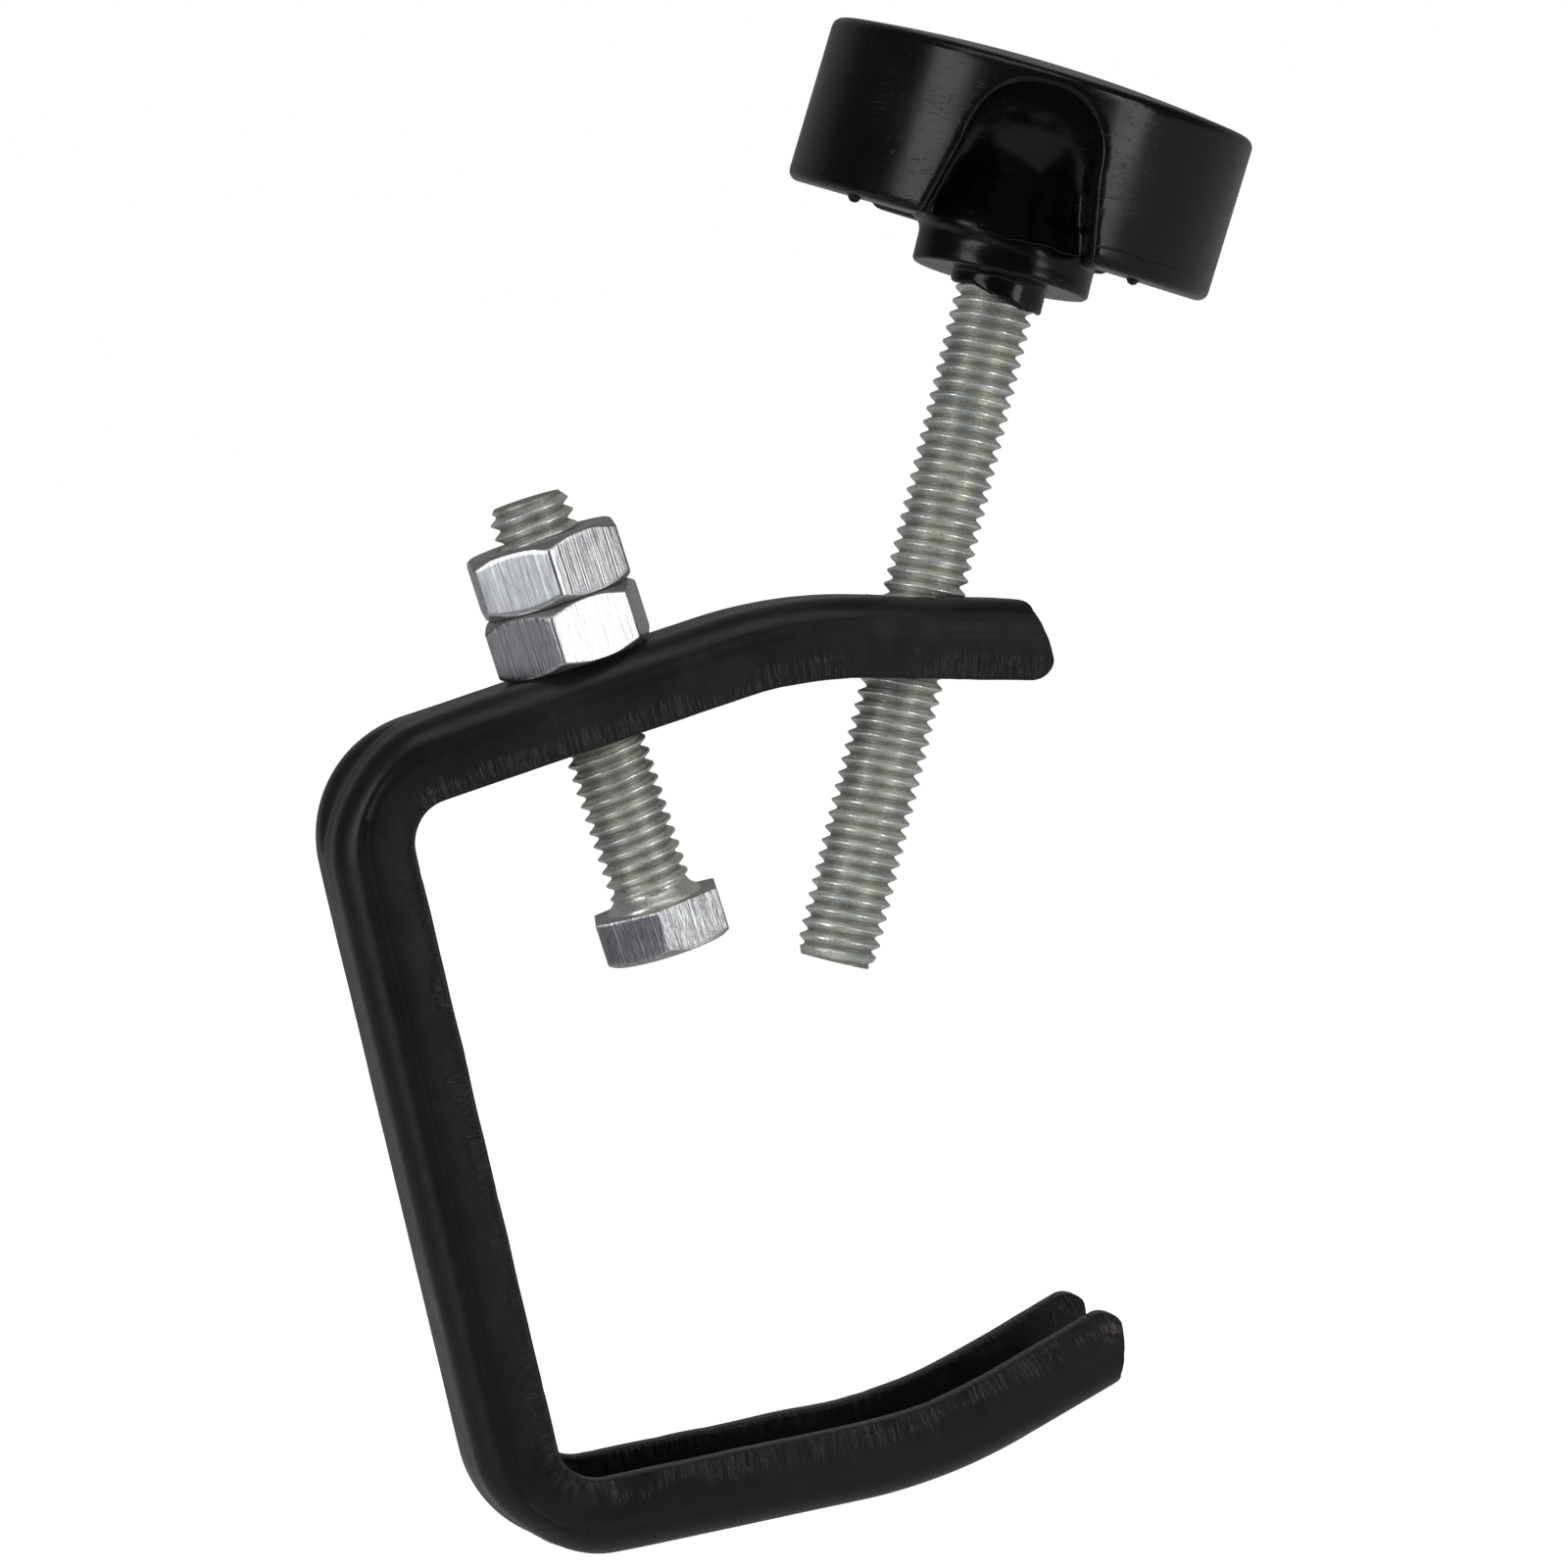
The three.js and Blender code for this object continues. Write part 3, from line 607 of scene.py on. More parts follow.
def forming_marks(across, out, run, around, half):
    """What bending and pressing left on the strip: how far a point moves across and out.

    run is the way along the flange edges, around the way along the web from each corner's middle.
    """
    side = np.sign(across)
    on_flange = np.abs(across) > half - 3.0
    lean = -LEAN_DEPTH * (1 - ramp(out, 0.0, LEAN_REACH)) * on_flange
    crease = -CREASE_DEPTH * np.exp(-((out - CREASE_PLACE) / CREASE_WIDTH) ** 2) * on_flange
    shift_across = side * (lean + crease)
    shift_out = np.zeros_like(out)

    for k in range(len(out)):
        wave = ripple(run[k] / 9.0, out[k] / 6.0, 3.1 * side[k]) * 0.09
        fine = ripple(run[k] / 2.3, out[k] / 2.6, 7.7 * side[k]) * 0.035
        if on_flange[k]:
            shift_across[k] += side[k] * (wave + fine)
            rim = max(0.0, 1 - out[k] / 2.6)
            sway = ripple(run[k] / 7.0, 5.0 * side[k], 1.0)
            nibble = ripple(run[k] / 1.7, 11.3 * side[k], 0.4)
            shift_out[k] += rim * (0.10 * sway + 0.10 * max(0.0, nibble - 0.25))
        else:
            shift_out[k] -= 0.05 + wave * 0.5 + fine * 0.5

    # Each corner's web is pinched in between its shoulders, most at the corner's middle
    for way, depth, reach in around:
        lens = np.clip(1 - (way / reach) ** 2, 0, 1)
        width = 0.35 + 2.75 * lens
        place = across - 0.1
        near_side = ramp(place, -width - 0.15, -width * 0.55)
        far_side = 1 - ramp(place, width * 0.15, width + 0.5)
        in_web = (out > 5.2)
        shift_out -= depth * lens ** 0.75 * near_side * far_side * in_web
        shoulder_low = np.exp(-(way / (reach * 0.9)) ** 2) * ramp(-across, 0.5, 4.5) * ramp(out, 4.8, 8.8)
        shift_out -= SHOULDER_PINCH * shoulder_low
    return shift_across, shift_out


def crumple(across, out, from_corner, half):
    """The flange edges are squeezed inside the lower corner, so they fold outwards there."""
    side = np.sign(across)
    on_flange = np.abs(across) > half - 3.0
    near = np.exp(-(from_corner / 3.0) ** 2)
    lip = 1 - ramp(out, 0.6, 4.4)
    push = np.zeros_like(out)
    for k in range(len(out)):
        if on_flange[k] and near[k] * lip[k] > 0.01:
            fold = ripple(from_corner[k] / 1.15 + 0.35 * out[k], out[k] / 2.4, 2.2 + side[k])
            push[k] = near[k] * lip[k] * (0.20 + 0.75 * abs(fold))
    return side * push


def channel_mesh(size):
    """Rings of the channel, one for each station, each with its outer face first and its inner face back."""
    names = (
        "pipe_radius", "spine", "lower_arm", "hook", "upper_arm", "arm_end",
        "width", "depth", "wall", "corner",
    )
    mm = {name: getattr(size, name) / MM for name in names}
    half = mm["width"] / 2
    radius = mm["pipe_radius"]
    lower = np.array([-radius, -radius * (1 - math.sin(size.lower_slope)) / math.cos(size.lower_slope)])
    upper = lower + [0, mm["spine"]]
    hook_bend = lower + in_plane(-size.lower_slope, mm["lower_arm"])
    hook_end = hook_bend + in_plane(size.hook_rise, mm["hook"])
    arm_bend = upper + in_plane(size.upper_rise, mm["upper_arm"])
    arm_end = arm_bend + in_plane(-size.end_drop, mm["arm_end"])
    corners = [hook_end, hook_bend, lower, upper, arm_bend, arm_end]
    radii = [HOOK_BEND_RADIUS, mm["corner"], mm["corner"], ARM_BEND_RADIUS]
    line, way, middles = bent_line(corners, radii, [BEND_STEPS, CORNER_STEPS, CORNER_STEPS, BEND_STEPS])
    outward = np.stack([-way[:, 1], way[:, 0]], 1)
    run = np.concatenate([[0], np.cumsum(np.linalg.norm(np.diff(line, axis=0), axis=1))])
    web_line = line + outward * mm["depth"]
    web_run = np.concatenate([[0], np.cumsum(np.linalg.norm(np.diff(web_line, axis=0), axis=1))])

    outer, inner = channel_section(size)
    ring = np.concatenate([outer, inner[::-1]])
    across, out = ring[:, 0], ring[:, 1]
    # The middle of the wall at each point
    core = (outer + inner) / 2
    core = np.concatenate([core, core[::-1]])

    total = run[-1]
    first = end_reach(out, mm["depth"], HOOK_SLANT, HOOK_BULGE)
    last = end_reach(out, mm["depth"], ARM_SLANT, ARM_BULGE)

    # Ways along the strip for every ring; the end rings follow the rounded ends
    inside = run[(run > END_ZONE) & (run < total - END_ZONE)]
    spread = 1 - np.cos(np.linspace(0, np.pi / 2, END_ROWS))
    start_rows = [-first + (END_ZONE + first) * t for t in spread[:-1]]
    end_rows = [total + last - (END_ZONE + last) * t for t in spread[-2::-1]]
    start_rows[0] = start_rows[0] + END_LIPS[0][1]
    end_rows[-1] = end_rows[-1] - END_LIPS[0][1]
    ways = [(-first + inset, shrink) for inset, shrink in END_LIPS]
    ways += [(w, 0.0) for w in start_rows]
    ways += [(np.full(len(out), w), 0.0) for w in inside]
    ways += [(w, 0.0) for w in end_rows]
    ways += [(total + last - inset, shrink) for inset, shrink in END_LIPS[::-1]]

    rings, maps = [], []
    for w, shrink in ways:
        w = np.asarray(w, float)
        place = np.stack([np.interp(w, run, line[:, i]) for i in range(2)], 1)
        before = np.minimum(w, 0)
        past = np.maximum(w - total, 0)
        place = place + before[:, None] * way[0] + past[:, None] * way[-1]
        normal = np.stack([np.interp(w, run, outward[:, i]) for i in range(2)], 1)
        normal /= np.linalg.norm(normal, axis=1)[:, None]
        a, o = across.copy(), out.copy()
        if shrink:
            share = 2 * shrink / mm["wall"]
            a = across + (core[:, 0] - across) * share
            o = out + (core[:, 1] - out) * share
        web_way = np.interp(w, run, web_run)
        around = [
            (web_way - web_run[middles[1]], *LOWER_PINCH),
            (web_way - web_run[middles[2]], *UPPER_PINCH),
        ]
        shift_across, shift_out = forming_marks(a, o, w, around, half)
        a = a + shift_across + crumple(a, o, w - run[middles[1]], half)
        o = o + shift_out
        spot = place + normal * o[:, None]
        rings.append(np.stack([spot[:, 0], a, spot[:, 1]], 1))
        maps.append(np.stack([w + FAR_SIDE_MAP * (across > 0), out], 1))
    return rings, maps, len(outer)


def build_channel(context):
    """The channel with its collar, tapped hole and bolt hole."""
    size, finishes = context.scene.clamp_channel, context.scene.clamp_finishes
    rings, maps, count = channel_mesh(size)
    points, faces = loft(rings, caps=False)
    per_ring = len(rings[0])
    for base, flip in ((0, False), ((len(rings) - 1) * per_ring, True)):
        for i in range(count - 1):
            face = (base + i, base + i + 1, base + per_ring - 2 - i, base + per_ring - 1 - i)
            faces.append(face[::-1] if flip else face)
    mesh = bpy.data.meshes.new("channel")
    mesh.from_pydata([tuple(p) for p in points * MM], [], faces)
    layer = mesh.uv_layers.new(name="strip")
    flat = np.concatenate(maps)
    index = np.zeros(len(mesh.loops), dtype=np.int64)
    mesh.loops.foreach_get("vertex_index", index)
    layer.data.foreach_set("uv", flat[index].astype(np.float32).ravel())
    finish_mesh(mesh, 40.0)
    paint = powder_coat(finishes)
    mesh.materials.append(paint)
    channel = bpy.data.objects.new("channel", mesh)
    context.collection.objects.link(channel)

    # Tapped hole with its drawn collar in the arm's end, and the bolt's plain hole
    placement = axis_placement(SCREW_TIP, SCREW_AXIS)
    screw = context.scene.clamp_screws
    web = web_crossing(size)
    collar = rod("collar", COLLAR_RADIUS, web[0] - COLLAR_DROP, web[0] + 1.2, placement, paint)
    cut(channel, collar, "UNION")
    tapped = rod("tapped", screw.crest / MM + THREAD_GAP, web[0] - 6.6, web[1] + 6, placement, paint)
    cut(channel, tapped, "DIFFERENCE")
    depth, wall = size.depth / MM, size.wall / MM
    across_web = axis_placement(bolt_foot(context), BOLT_AXIS)
    hole = rod("hole", BOLT_HOLE_RADIUS, depth - wall - 3, depth + 3, across_web, paint)
    cut(channel, hole, "DIFFERENCE")
    channel.data.shade_smooth()
    channel.data.set_sharp_from_angle(angle=math.radians(40.0))

    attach(channel, "clamp")
    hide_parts("clamp_body")
    return channel


def web_crossing(size):
    """Where the clamp screw's line crosses the inner and outer face of the arm end's web, from the tip."""
    upper = np.array([-size.pipe_radius, size.spine - size.pipe_radius
                      * (1 - math.sin(size.lower_slope)) / math.cos(size.lower_slope)]) / MM
    bend = upper + in_plane(size.upper_rise, size.upper_arm / MM)
    normal = in_plane(math.pi / 2 - size.end_drop)
    tip = np.array([SCREW_TIP.x, SCREW_TIP.z])
    axis = np.array([SCREW_AXIS.x, SCREW_AXIS.z])
    to_outer = ((bend + normal * size.depth / MM - tip) @ normal) / (axis @ normal)
    return to_outer - size.wall / MM / (axis @ normal), to_outer


def bolt_foot(context):
    """Where the yoke bolt's line crosses the flange edges of the upper arm."""
    size = context.scene.clamp_channel
    lower = -size.pipe_radius * (1 - math.sin(size.lower_slope)) / math.cos(size.lower_slope)
    upper = np.array([-size.pipe_radius, lower + size.spine]) / MM
    spot = upper + in_plane(size.upper_rise, context.scene.clamp_screws.bolt_foot / MM)
    return Vector((spot[0], 0, spot[1]))


# ---------------------------------------------------------------- threads, nuts and bolt

THREAD_SIDES = 72
# Share of the pitch, and height between root 0 and crest 1
THREAD_PROFILE = (
    (0.00, 0.0), (0.06, 0.03), (0.13, 0.17), (0.26, 0.52), (0.38, 0.86), (0.43, 0.975), (0.47, 1.0),
    (0.53, 1.0), (0.57, 0.975), (0.62, 0.86), (0.74, 0.52), (0.87, 0.17), (0.94, 0.03),
)


def thread_mesh(name, crest, root, pitch, low, high, limit, phase, material, placement, floor=None):
    """A right-handed thread along local Z.

    limit(z) caps the radius and floor(z) lifts it, both in millimetres.
    """
    rows = []
    turns = int((high - low) / pitch) + 4
    for turn in range(-2, turns):
        for share, height in THREAD_PROFILE:
            rows.append(((turn + share) * pitch + low, root + (crest - root) * height))
    around = np.arange(THREAD_SIDES + 1) / THREAD_SIDES
    sides = THREAD_SIDES
    points = []
    for z, radius in rows:
        for k in range(sides):
            lift = z + pitch * (around[k] + phase)
            wear = 0.05 * ripple(lift / 1.9, math.cos(around[k] * 2 * math.pi) * 1.6,
                                 math.sin(around[k] * 2 * math.pi) * 1.6)
            r = radius - max(0.0, wear) * (radius - root) / (crest - root)
            r = min(r, limit(lift))
            if floor is not None:
                r = max(r, floor(lift))
            spot = around[k] * 2 * math.pi
            points.append((r * math.cos(spot), r * math.sin(spot), lift))
    faces = []
    step = len(THREAD_PROFILE)
    for row in range(len(rows) - 1):
        for k in range(sides - 1):
            a = row * sides + k
            faces.append((a, a + 1, a + sides + 1, a + sides))
        # The last column joins the first one a turn further on
        if row + step + 1 < len(rows):
            a = row * sides + sides - 1
            b = (row + step) * sides
            faces.append((a, b, b + sides, a + sides))
    mesh = bpy.data.meshes.new(name)
    mesh.from_pydata([tuple(np.array(p) * MM) for p in points], [], faces)
    bm = bmesh.new()
    bm.from_mesh(mesh)
    for height, direction in ((low, -1), (high, 1)):
        geometry = list(bm.verts) + list(bm.edges) + list(bm.faces)
        bmesh.ops.bisect_plane(
            bm, geom=geometry, dist=1e-7, plane_co=(0, 0, height * MM), plane_no=(0, 0, direction),
            clear_outer=True,
        )
        rim = [
            e for e in bm.edges
            if e.is_boundary and all(abs(v.co.z - height * MM) < 1e-6 for v in e.verts)
        ]
        bmesh.ops.holes_fill(bm, edges=rim, sides=0)
    bmesh.ops.remove_doubles(bm, verts=bm.verts, dist=2e-7)
    loose = [v for v in bm.verts if not v.link_faces]
    bmesh.ops.delete(bm, geom=loose, context="VERTS")
    bmesh.ops.recalc_face_normals(bm, faces=bm.faces)
    bm.to_mesh(mesh)
    bm.free()
    mesh.shade_smooth()
    mesh.set_sharp_from_angle(angle=math.radians(48.0))
    mesh.materials.append(material)
    piece = bpy.data.objects.new(name, mesh)
    bpy.context.collection.objects.link(piece)
    piece.matrix_world = placement
    return piece


def screw_limit(low):
    """The last turn tapers to the flat tip."""
    def limit(z):
        past = z - low
        return 3.95 + 0.42 * max(0.0, past) if past < 1.6 else 4.62 + 0.03 * (past - 1.6) if past < 5 else 9.0
    return limit


def build_screw(context):
    """The clamp screw, threaded from its tip into the knob."""
    size, finishes = context.scene.clamp_screws, context.scene.clamp_finishes
    crest, root, pitch = size.crest / MM, size.root / MM, size.pitch / MM
    zinc = thread_zinc(finishes, crest, root)
    screw = thread_mesh(
        "threaded_screw", crest, root, pitch, 0.0, size.screw_length / MM, screw_limit(0.0), 0.35, zinc,
        axis_placement(SCREW_TIP, SCREW_AXIS),
    )
    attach(screw, "handle")
    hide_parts("clamp_screw")
    return screw


HEX_COLUMNS = 22
HEX_CORNER = 0.45
# How far the head and the nuts are turned round the bolt, in degrees
HEAD_TURN, SEATED_TURN, LOCKING_TURN = -101, -109, -96


def hexagon_reach(flats):
    """Angles round a hexagon with slightly rounded corners, and the radius at each.

    A corner lies on local X.
    """
    turns, reaches = [], []
    half = flats / 2
    for side in range(6):
        for k in range(HEX_COLUMNS):
            t = -1 + 2 * (k + 0.5) / HEX_COLUMNS
            t = math.copysign(1 - (1 - abs(t)) ** 1.45, t)
            off = t * math.pi / 6
            turns.append(side * math.pi / 3 + math.pi / 6 + off)
            straight = half / math.cos(off)
            corner = (half - HEX_CORNER) / math.cos(math.pi / 6)
            # Rounded corner: meet of the flat and a circle of the corner's radius
            rest = abs(math.pi / 6 - abs(off))
            inside = HEX_CORNER ** 2 - (corner * math.sin(rest)) ** 2
            rounded = corner * math.cos(rest) + math.sqrt(inside) if inside > 0 else 1e9
            reaches.append(min(straight, rounded))
    return np.array(turns), np.array(reaches)


def hexagon_rows(flats, low, high, inner, chamfers, inset=0.12):
    """Rings of a nut or head from the lower bore edge round the outside to the upper bore edge."""
    turns, reach = hexagon_reach(flats)
    face = flats / 2 - 0.25
    slope = math.tan(math.radians(30))
    fall = np.maximum(0, reach - face) * slope

    def ring(radius, height):
        radius = np.broadcast_to(radius, reach.shape)
        height = np.broadcast_to(height, reach.shape)
        return np.stack([radius * np.cos(turns), radius * np.sin(turns), height], 1)

    def end(level, sign, chamfered):
        """From the bore outwards to just on the flats, for one end."""
        rows = [ring(inner, level - sign * 0.45), ring(inner + 0.45, level)]
        rows += [ring(inner + 0.45 + (face - 0.3 - inner - 0.45) * t, level) for t in (0.33, 0.66, 1.0)]
        if chamfered:
            rows.append(ring(face, level - sign * 0.03))
            for t in (0.3, 0.65, 0.93):
                rows.append(ring(face + (reach - face) * t, level - sign * (0.05 + fall * t)))
            rows.append(ring(reach - 0.03, level - sign * (0.10 + fall)))
            rows.append(ring(reach, level - sign * (0.22 + fall)))
        else:
            rows.append(ring(reach - inset * 1.6, level))
            rows.append(ring(reach - inset * 0.4, level - sign * inset * 0.4))
            rows.append(ring(reach, level - sign * inset * 1.6))
        return rows

    lower = end(low, -1, chamfers[0])
    upper = end(high, 1, chamfers[1])
    top, bottom = upper[-1][:, 2], lower[-1][:, 2]
    sides = [ring(reach, bottom + (top - bottom) * t) for t in (0.06, 0.25, 0.5, 0.75, 0.94)]
    return lower + sides + upper[::-1]


def build_nut(context, name, node, body, gap, turn, zinc):
    """One nut, this far above the flange edges and turned this many degrees."""
    size = context.scene.clamp_screws
    height = size.nut_height / MM
    rows = hexagon_rows(size.nut_flats / MM, 0.0, height, size.crest / MM + THREAD_GAP, (True, True))
    points, faces = loft(rows, caps=False)
    count, last = len(rows[0]), (len(rows) - 1) * len(rows[0])
    for i in range(count):
        j = (i + 1) % count
        faces.append((last + i, last + j, j, i))
    start = bolt_foot(context) + BOLT_AXIS * gap
    placement = axis_placement(start, BOLT_AXIS, math.radians(turn))
    nut = new_piece(name, points, faces, zinc, placement, smooth=28.0)
    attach(nut, body)
    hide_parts(node)
    return nut


def build_bolt(context):
    """The yoke bolt's threaded shank and its hexagon head."""
    size, finishes = context.scene.clamp_screws, context.scene.clamp_finishes
    crest, root, pitch = size.crest / MM, size.root / MM, size.pitch / MM
    face = -size.head_below / MM
    seat = face + size.head_height / MM
    end = face + size.bolt_length / MM
    foot = bolt_foot(context)

    def limit(z):
        from_end = end - z
        return 3.85 + 0.75 * max(0.0, from_end) if from_end < 1.4 else 9.0

    def neck(z):
        over = z - seat
        flare = 5.55 - 1.15 * ramp(over, 0.0, 1.5)
        runout = root + (4.40 - root) * (1 - ramp(over, 1.0, 3.4))
        return float(flare if over < 1.1 else max(runout, flare if over < 1.5 else 0))

    shank = thread_mesh(
        "yoke_bolt_shank", crest, root, pitch, seat - 0.02, end, limit, 0.1,
        thread_zinc(finishes, crest, root), axis_placement(foot, BOLT_AXIS), floor=neck,
    )
    rows = hexagon_rows(size.head_flats / MM, face, seat, 0.6, (True, False))
    points, faces = loft(rows, caps=False)
    count, last = len(rows[0]), (len(rows) - 1) * len(rows[0])
    faces.append(tuple(range(count)))
    faces.append(tuple(range(last, last + count)))
    head = new_piece(
        "yoke_bolt_head", points, faces, wrench_zinc(finishes, "zinc_drawn_head", 0.16, 0.13),
        axis_placement(foot, BOLT_AXIS, math.radians(HEAD_TURN)), smooth=28.0,
    )
    for piece in (shank, head):
        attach(piece, "bolt")
        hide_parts("yoke_bolt")
    return shank, head


def build_nuts(context):
    """The nut seated on the arm and the one locked on it."""
    size, finishes = context.scene.clamp_screws, context.scene.clamp_finishes
    depth = context.scene.clamp_channel.depth / MM
    height = size.nut_height / MM
    zinc = wrench_zinc(finishes, "zinc_drawn_nut", 0.05, 0.17)
    return (
        build_nut(context, "seated_nut", "lower_nut", "bolt", depth + 0.05, SEATED_TURN, zinc),
        build_nut(context, "locking_nut", "upper_nut", "nut", depth + height + 0.10, LOCKING_TURN, zinc),
    )


# ---------------------------------------------------------------- knob

GRID_STEP = 0.42
RIM_EDGE = 1.2
SCOOP_SHOULDER, SCOOP_SHOULDER_HALF, SCOOP_FLOOR_RISE = 9.5, 7.6, 7.0
# Angle in radians, distance from the middle and radius of each nub
FLASH_NUBS = ((-2.62, 23.1, 0.75), (-1.02, 22.0, 0.7))
BORE_RADIUS, BORE_TOP = 4.80, 6.2


def soft_max(one, two, blend):
    """The larger of two distances, with a rounded edge where they meet."""
    near = np.clip(0.5 - 0.5 * (two - one) / blend, 0, 1)
    return two * (1 - near) + one * near + blend * near * (1 - near)


def soft_min(one, two, blend):
    return -soft_max(-one, -two, blend)


def disc(reach, z, radius, low, high, edge):
    """Distance to a round plate with rounded edges."""
    middle, half = (low + high) / 2, (high - low) / 2
    side = reach - radius + edge
    end = np.abs(z - middle) - half + edge
    return np.hypot(np.maximum(side, 0), np.maximum(end, 0)) + np.minimum(np.maximum(side, end), 0) - edge


def knob_distance(size):
    """Distance to the knob's skin in millimetres; local Z runs along the screw, from the rim's lower edge."""
    radius, height, crown = size.radius / MM, size.height / MM, size.crown / MM
    hub, hub_low = size.hub_radius / MM, -size.hub_drop / MM
    sleeve, sleeve_low = size.sleeve_radius / MM, -size.sleeve_drop / MM
    scoop_half, scoop_top = size.scoop_width / MM / 2, size.scoop_height / MM
    shoulder, shoulder_half, floor_rise = SCOOP_SHOULDER, SCOOP_SHOULDER_HALF, SCOOP_FLOOR_RISE
    narrowing = (scoop_half - shoulder_half) / (shoulder + 1)

    nod = np.array(Euler((size.nod, 0, 0)).to_matrix())
    askew = np.array(Euler((0, size.lean, 0)).to_matrix()) @ nod
    shift = np.array([size.shift / MM, 0, 0])

    def distance(place):
        moulded = (place - shift) @ askew
        x, y, z = moulded[..., 0], moulded[..., 1], moulded[..., 2]
        reach = np.hypot(x, y)
        swell = 1 + crown / height * np.clip(1 - (reach / (radius - 1)) ** 2, 0, 1)
        body = disc(reach, z / np.where(z > 0, swell, 1), radius, 0.0, height, RIM_EDGE)
        for k in range(3):
            turn = size.scoop_turn + 2 * math.pi * k / 3
            along = x * math.cos(turn) + y * math.sin(turn)
            aside = np.abs(-x * math.sin(turn) + y * math.cos(turn))
            wall = (aside - shoulder_half - (shoulder - z) * narrowing) * 0.975
            q = np.hypot(aside / shoulder_half, (z - shoulder) / (scoop_top - shoulder))
            q1 = np.hypot(aside / shoulder_half ** 2, (z - shoulder) / (scoop_top - shoulder) ** 2)
            arch = q * (q - 1) / np.maximum(q1, 1e-6)
            arch = np.where(z > shoulder, arch, wall)
            wide, tall = radius + 6 - hub, scoop_top + 1 - floor_rise
            e0 = np.hypot((radius + 6 - reach) / wide, (z - floor_rise) / tall)
            e1 = np.hypot((radius + 6 - reach) / wide ** 2, (z - floor_rise) / tall ** 2)
            floor = np.where(z > floor_rise, e0 * (e0 - 1) / np.maximum(e1, 1e-6), hub - reach)
            hollow = soft_max(arch, floor, 2.8)
            hollow = np.maximum(hollow, -along)
            body = soft_max(body, -hollow, 0.9)
        # Two nubs of flash left on the rim's lower edge
        for spot, reach_out, big in FLASH_NUBS:
            aside = np.hypot(x - reach_out * math.cos(spot), y - reach_out * math.sin(spot))
            away = np.hypot(aside, (z + 0.15) * 1.1)
            body = soft_min(body, away - big, 0.3)
        # The hub, the sleeve and the bore are true to the screw
        x, y, z = place[..., 0], place[..., 1], place[..., 2]
        reach = np.hypot(x, y)
        turn = np.arctan2(y, x)
        body = soft_min(body, disc(reach, z, hub, hub_low, 2.0, 0.45), 1.6)
        # The sleeve's lower edge is torn off slantwise
        ragged = 0.30 * np.sin(3 * turn + 2.0) + 0.16 * np.sin(7 * turn)
        short = 0.95 - 0.95 * np.cos(turn + 0.6) + 0.3 + 0.6 * ragged
        skirt = disc(reach, z, sleeve, sleeve_low + short, 2.0, 0.3)
        body = soft_min(body, skirt, 0.35)
        bore = disc(reach, z, BORE_RADIUS, sleeve_low - 3, BORE_TOP, 0.02)
        return np.maximum(body, -bore)

    return distance


def skin_mesh(distance, low, high, step):
    """Quads over the zero level of a distance, one point in each grid cell it passes through."""
    count = np.ceil((np.array(high) - low) / step).astype(int) + 1
    grids = np.meshgrid(*[low[i] + step * np.arange(count[i]) for i in range(3)], indexing="ij")
    value = distance(np.stack(grids, -1))
    sign = value < 0
    cells = count - 1
    corner_sum = np.zeros(tuple(cells), int)
    for dx in (0, 1):
        for dy in (0, 1):
            for dz in (0, 1):
                corner_sum += sign[dx:dx + cells[0], dy:dy + cells[1], dz:dz + cells[2]]
    crossed = (corner_sum > 0) & (corner_sum < 8)
    cell = np.argwhere(crossed)
    number = -np.ones(tuple(cells), int)
    number[crossed] = np.arange(len(cell))

    total, weight = np.zeros((len(cell), 3)), np.zeros(len(cell))
    offsets = [np.array(o) for o in np.ndindex(2, 2, 2)]
    for one in offsets:
        for axis in range(3):
            if one[axis]:
                continue
            two = one.copy()
            two[axis] = 1
            a = value[tuple((cell + one).T)]
            b = value[tuple((cell + two).T)]
            hit = (a < 0) != (b < 0)
            share = np.where(hit, a / np.where(hit, a - b, 1), 0)
            total += np.where(hit[:, None], one + (two - one) * share[:, None], 0)
            weight += hit
    points = low + step * (cell + total / weight[:, None])

    # Settle the points on the skin
    for _ in range(3):
        here = distance(points)
        slope = np.stack([
            (distance(points + d) - distance(points - d)) / 0.04 for d in np.eye(3) * 0.02
        ], 1)
        size = np.maximum(np.sum(slope ** 2, 1), 0.2)
        points = points - slope * np.clip(here / size, -step * 0.5, step * 0.5)[:, None]

    faces = []
    for axis in range(3):
        other = [i for i in range(3) if i != axis]
        one = [slice(None)] * 3
        two = [slice(None)] * 3
        one[axis], two[axis] = slice(0, -1), slice(1, None)
        edge = np.argwhere(sign[tuple(one)] != sign[tuple(two)])
        inner = np.all((edge[:, other] > 0) & (edge[:, other] < cells[other]), axis=1)
        edge = edge[inner]
        ring = []
        for da, db in ((0, 0), (1, 0), (1, 1), (0, 1)):
            spot = edge.copy()
            spot[:, other[0]] -= da
            spot[:, other[1]] -= db
            ring.append(number[tuple(spot.T)])
        faces.append(np.stack(ring, 1))
    return points, np.concatenate(faces)


